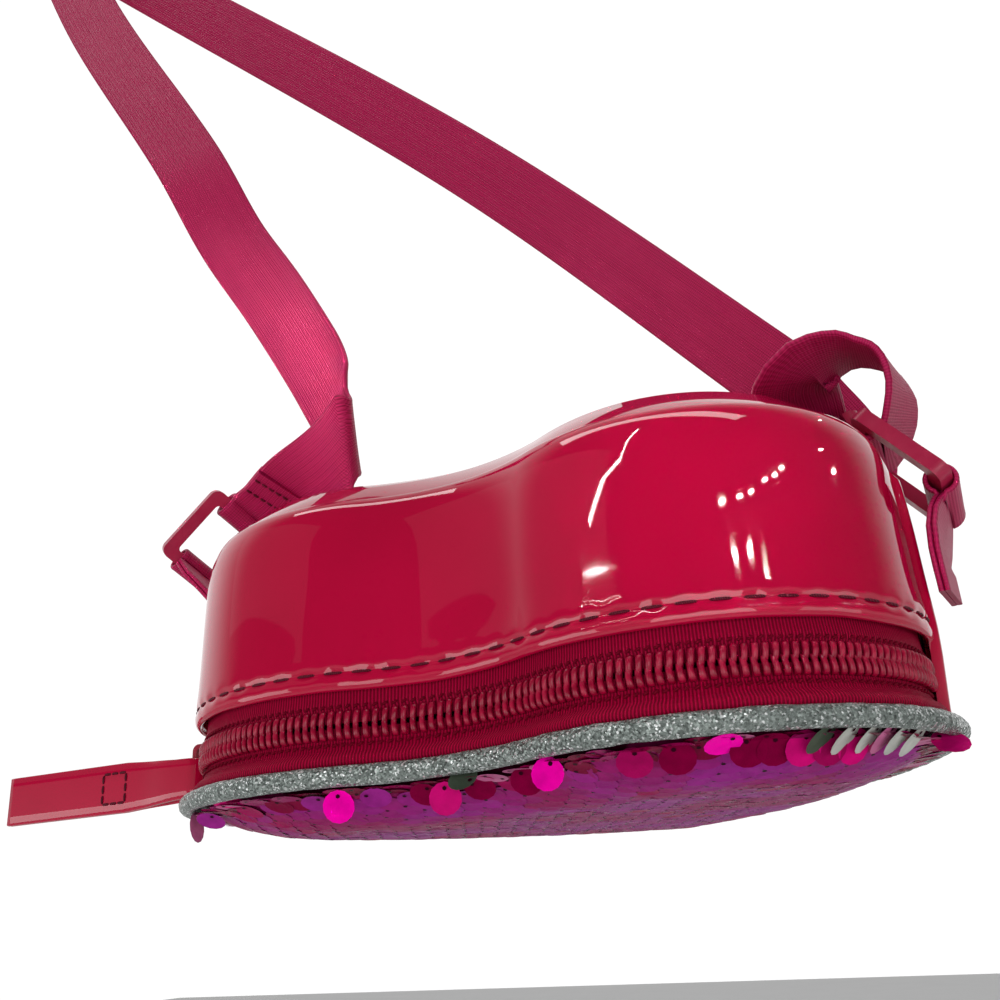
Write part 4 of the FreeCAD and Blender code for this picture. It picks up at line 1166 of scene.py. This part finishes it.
# Hard pieces keep their solids, with eased edges.
for node, material, width in (("ring_left", RING, 0.9), ("ring_right", RING, 0.9), ("strap_slide", RING, 0.5),
                              ("zip_slider", PAINT, 0.25), ("zip_bail", PAINT, 0.2), ("pull_link", PAINT, 0.3)):
    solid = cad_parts[node]
    solid.data.materials.clear()
    solid.data.materials.append(material)
    bevel = solid.modifiers.new("eased", "BEVEL")
    bevel.width = width * 0.001
    bevel.segments = 3
    bevel.limit_method = "ANGLE"
    bevel.angle_limit = math.radians(35)
    solid.data.polygons.foreach_set("use_smooth", [True] * len(solid.data.polygons))


# Stage, camera and light

FLOOR_HALF, FLOOR_Z = 9, -1.0
floor_mesh = bpy.data.meshes.new("floor")
corners = [(x * FLOOR_HALF, y * FLOOR_HALF, FLOOR_Z) for x, y in ((-1, -1), (1, -1), (1, 1), (-1, 1))]
floor_mesh.from_pydata(corners, [], [(0, 1, 2, 3)])
pale = Look("floor", 0.8, 0.1)
pale.paint(pale.mix(pale.noise(0.004), (0.8, 0.8, 0.8), (0.84, 0.84, 0.84)))
floor_mesh.materials.append(pale.material)
add_object("floor", floor_mesh)


def placed(place, right, up, back):
    """The matrix of a camera or lamp."""
    return Matrix.Translation(place) @ Matrix((right, up, back)).transposed().to_4x4()


CAMERA = Vector((100.38, -196.56, -24.98))
LOOK = Vector((-0.4413, 0.819, 0.3667)).normalized()
HEAD = squared(Vector((0.2309, -0.2912, 0.9284)), LOOK)
camera_data = bpy.data.cameras.new("camera")
camera_data.lens = 37.8
camera_data.sensor_width = 36.0
camera_data.sensor_fit = "HORIZONTAL"
camera_data.clip_start = 0.005
camera = add_object("camera", camera_data)
camera.matrix_world = placed(at(*CAMERA), LOOK.cross(HEAD), HEAD, -LOOK)
bpy.context.scene.camera = camera

world = bpy.data.worlds.new("studio")
world.use_nodes = True
sky = Nodes(world.node_tree)
direction = sky.node("TexCoord").outputs["Generated"]
facing = sky.math("DOT_PRODUCT", direction, LOOK, "VectorMath")
glow = sky.ramp(facing, 0.15, 0.72, 0.09, 1.05, interpolation_type="SMOOTHSTEP")
# Pale walls up to the horizon, below what the gusset mirrors towards the camera
height = sky.node("SeparateXYZ", {0: direction})
walls = sky.ramp(height.outputs["Z"], 0.06, 0.26, 0.62, 0.0, interpolation_type="SMOOTHSTEP")
background = world.node_tree.nodes["Background"].inputs
background["Color"].default_value = (1, 1, 1, 1)
sky.feed(sky.math("MAXIMUM", glow, walls), background["Strength"])
bpy.context.scene.world = world


def soft_box(name, start, end, height, power, aim=(0, -10, 35), spread=180):
    """A flat lamp whose long side runs between two places, turned to the purse."""
    start, end = at(*start), at(*end)
    data = bpy.data.lights.new(name, "AREA")
    data.shape = "RECTANGLE"
    data.size, data.size_y = (end - start).length, height * 0.001
    data.energy = power
    data.spread = math.radians(spread)
    middle = (start + end) / 2
    back = (middle - at(*aim)).normalized()
    along = squared(end - start, back)
    add_object(name, data).matrix_world = placed(middle, along, back.cross(along), back)


soft_box("key", (0, -900, -120), (750, -700, -120), 420, 3.0)
soft_box("key_left", (-900, -500, -160), (-450, -900, -160), 420, 2.2)
soft_box("key_right", (900, -350, -120), (1000, 150, -120), 350, 0.8)
soft_box("top", (-700, -330, 1100), (800, -330, 1100), 200, 5.5)
soft_box("strap_lamp", (-420, -760, 420), (-330, -800, 420), 60, 0.026, (-62, 0, 118), 6)
soft_box("wall", (-1200, -250, 640), (-330, -1130, 640), 480, 0.3)


def thin_lamp(name, start, end, height, power, parts):
    """A thin lamp in short lengths, each turned to the right lobe alone."""
    start, end = Vector(start), Vector(end)
    for k in range(parts):
        low, high = start.lerp(end, k / parts), start.lerp(end, (k + 1) / parts)
        soft_box("%s_%02d" % (name, k), low, high, height, power / parts, (60, -42, 38), 3.5)


thin_lamp("streak_high", (20, -750, 1000), (-150, -1040, 690), 20, 0.0008, 14)
thin_lamp("streak_low", (-150, -1040, 690), (-500, -1005, 525), 20, 0.0008, 14)
WINDOW = [(-607, -961, 455), (-293, -1115, 455), (-293, -1115, 395), (-607, -961, 395)]
for k, corner in enumerate(WINDOW):
    power, parts = (0.00004, 1) if k % 2 else (0.0003, 14)
    thin_lamp("window_%d" % k, corner, WINDOW[(k + 1) % 4], 6, power, parts)

BULBS = [(776, -853, 539), (899, -732, 540), (972, -635, 542), (1046, -489, 555), (1084, -380, 556), (1109, -295, 569),
         (825, -841, 482), (935, -720, 482), (1021, -611, 469), (695, 579, 881), (1091, 252, 610), (1104, 338, 533)]
for k, place in enumerate(BULBS):
    aside = Vector((place[1], -place[0], 0)).normalized() * 30
    soft_box("bulb_%02d" % k, Vector(place) - aside, Vector(place) + aside, 6, 0.00016, (62, -36, 36), 4)

bpy.context.scene.view_settings.view_transform = "Standard"
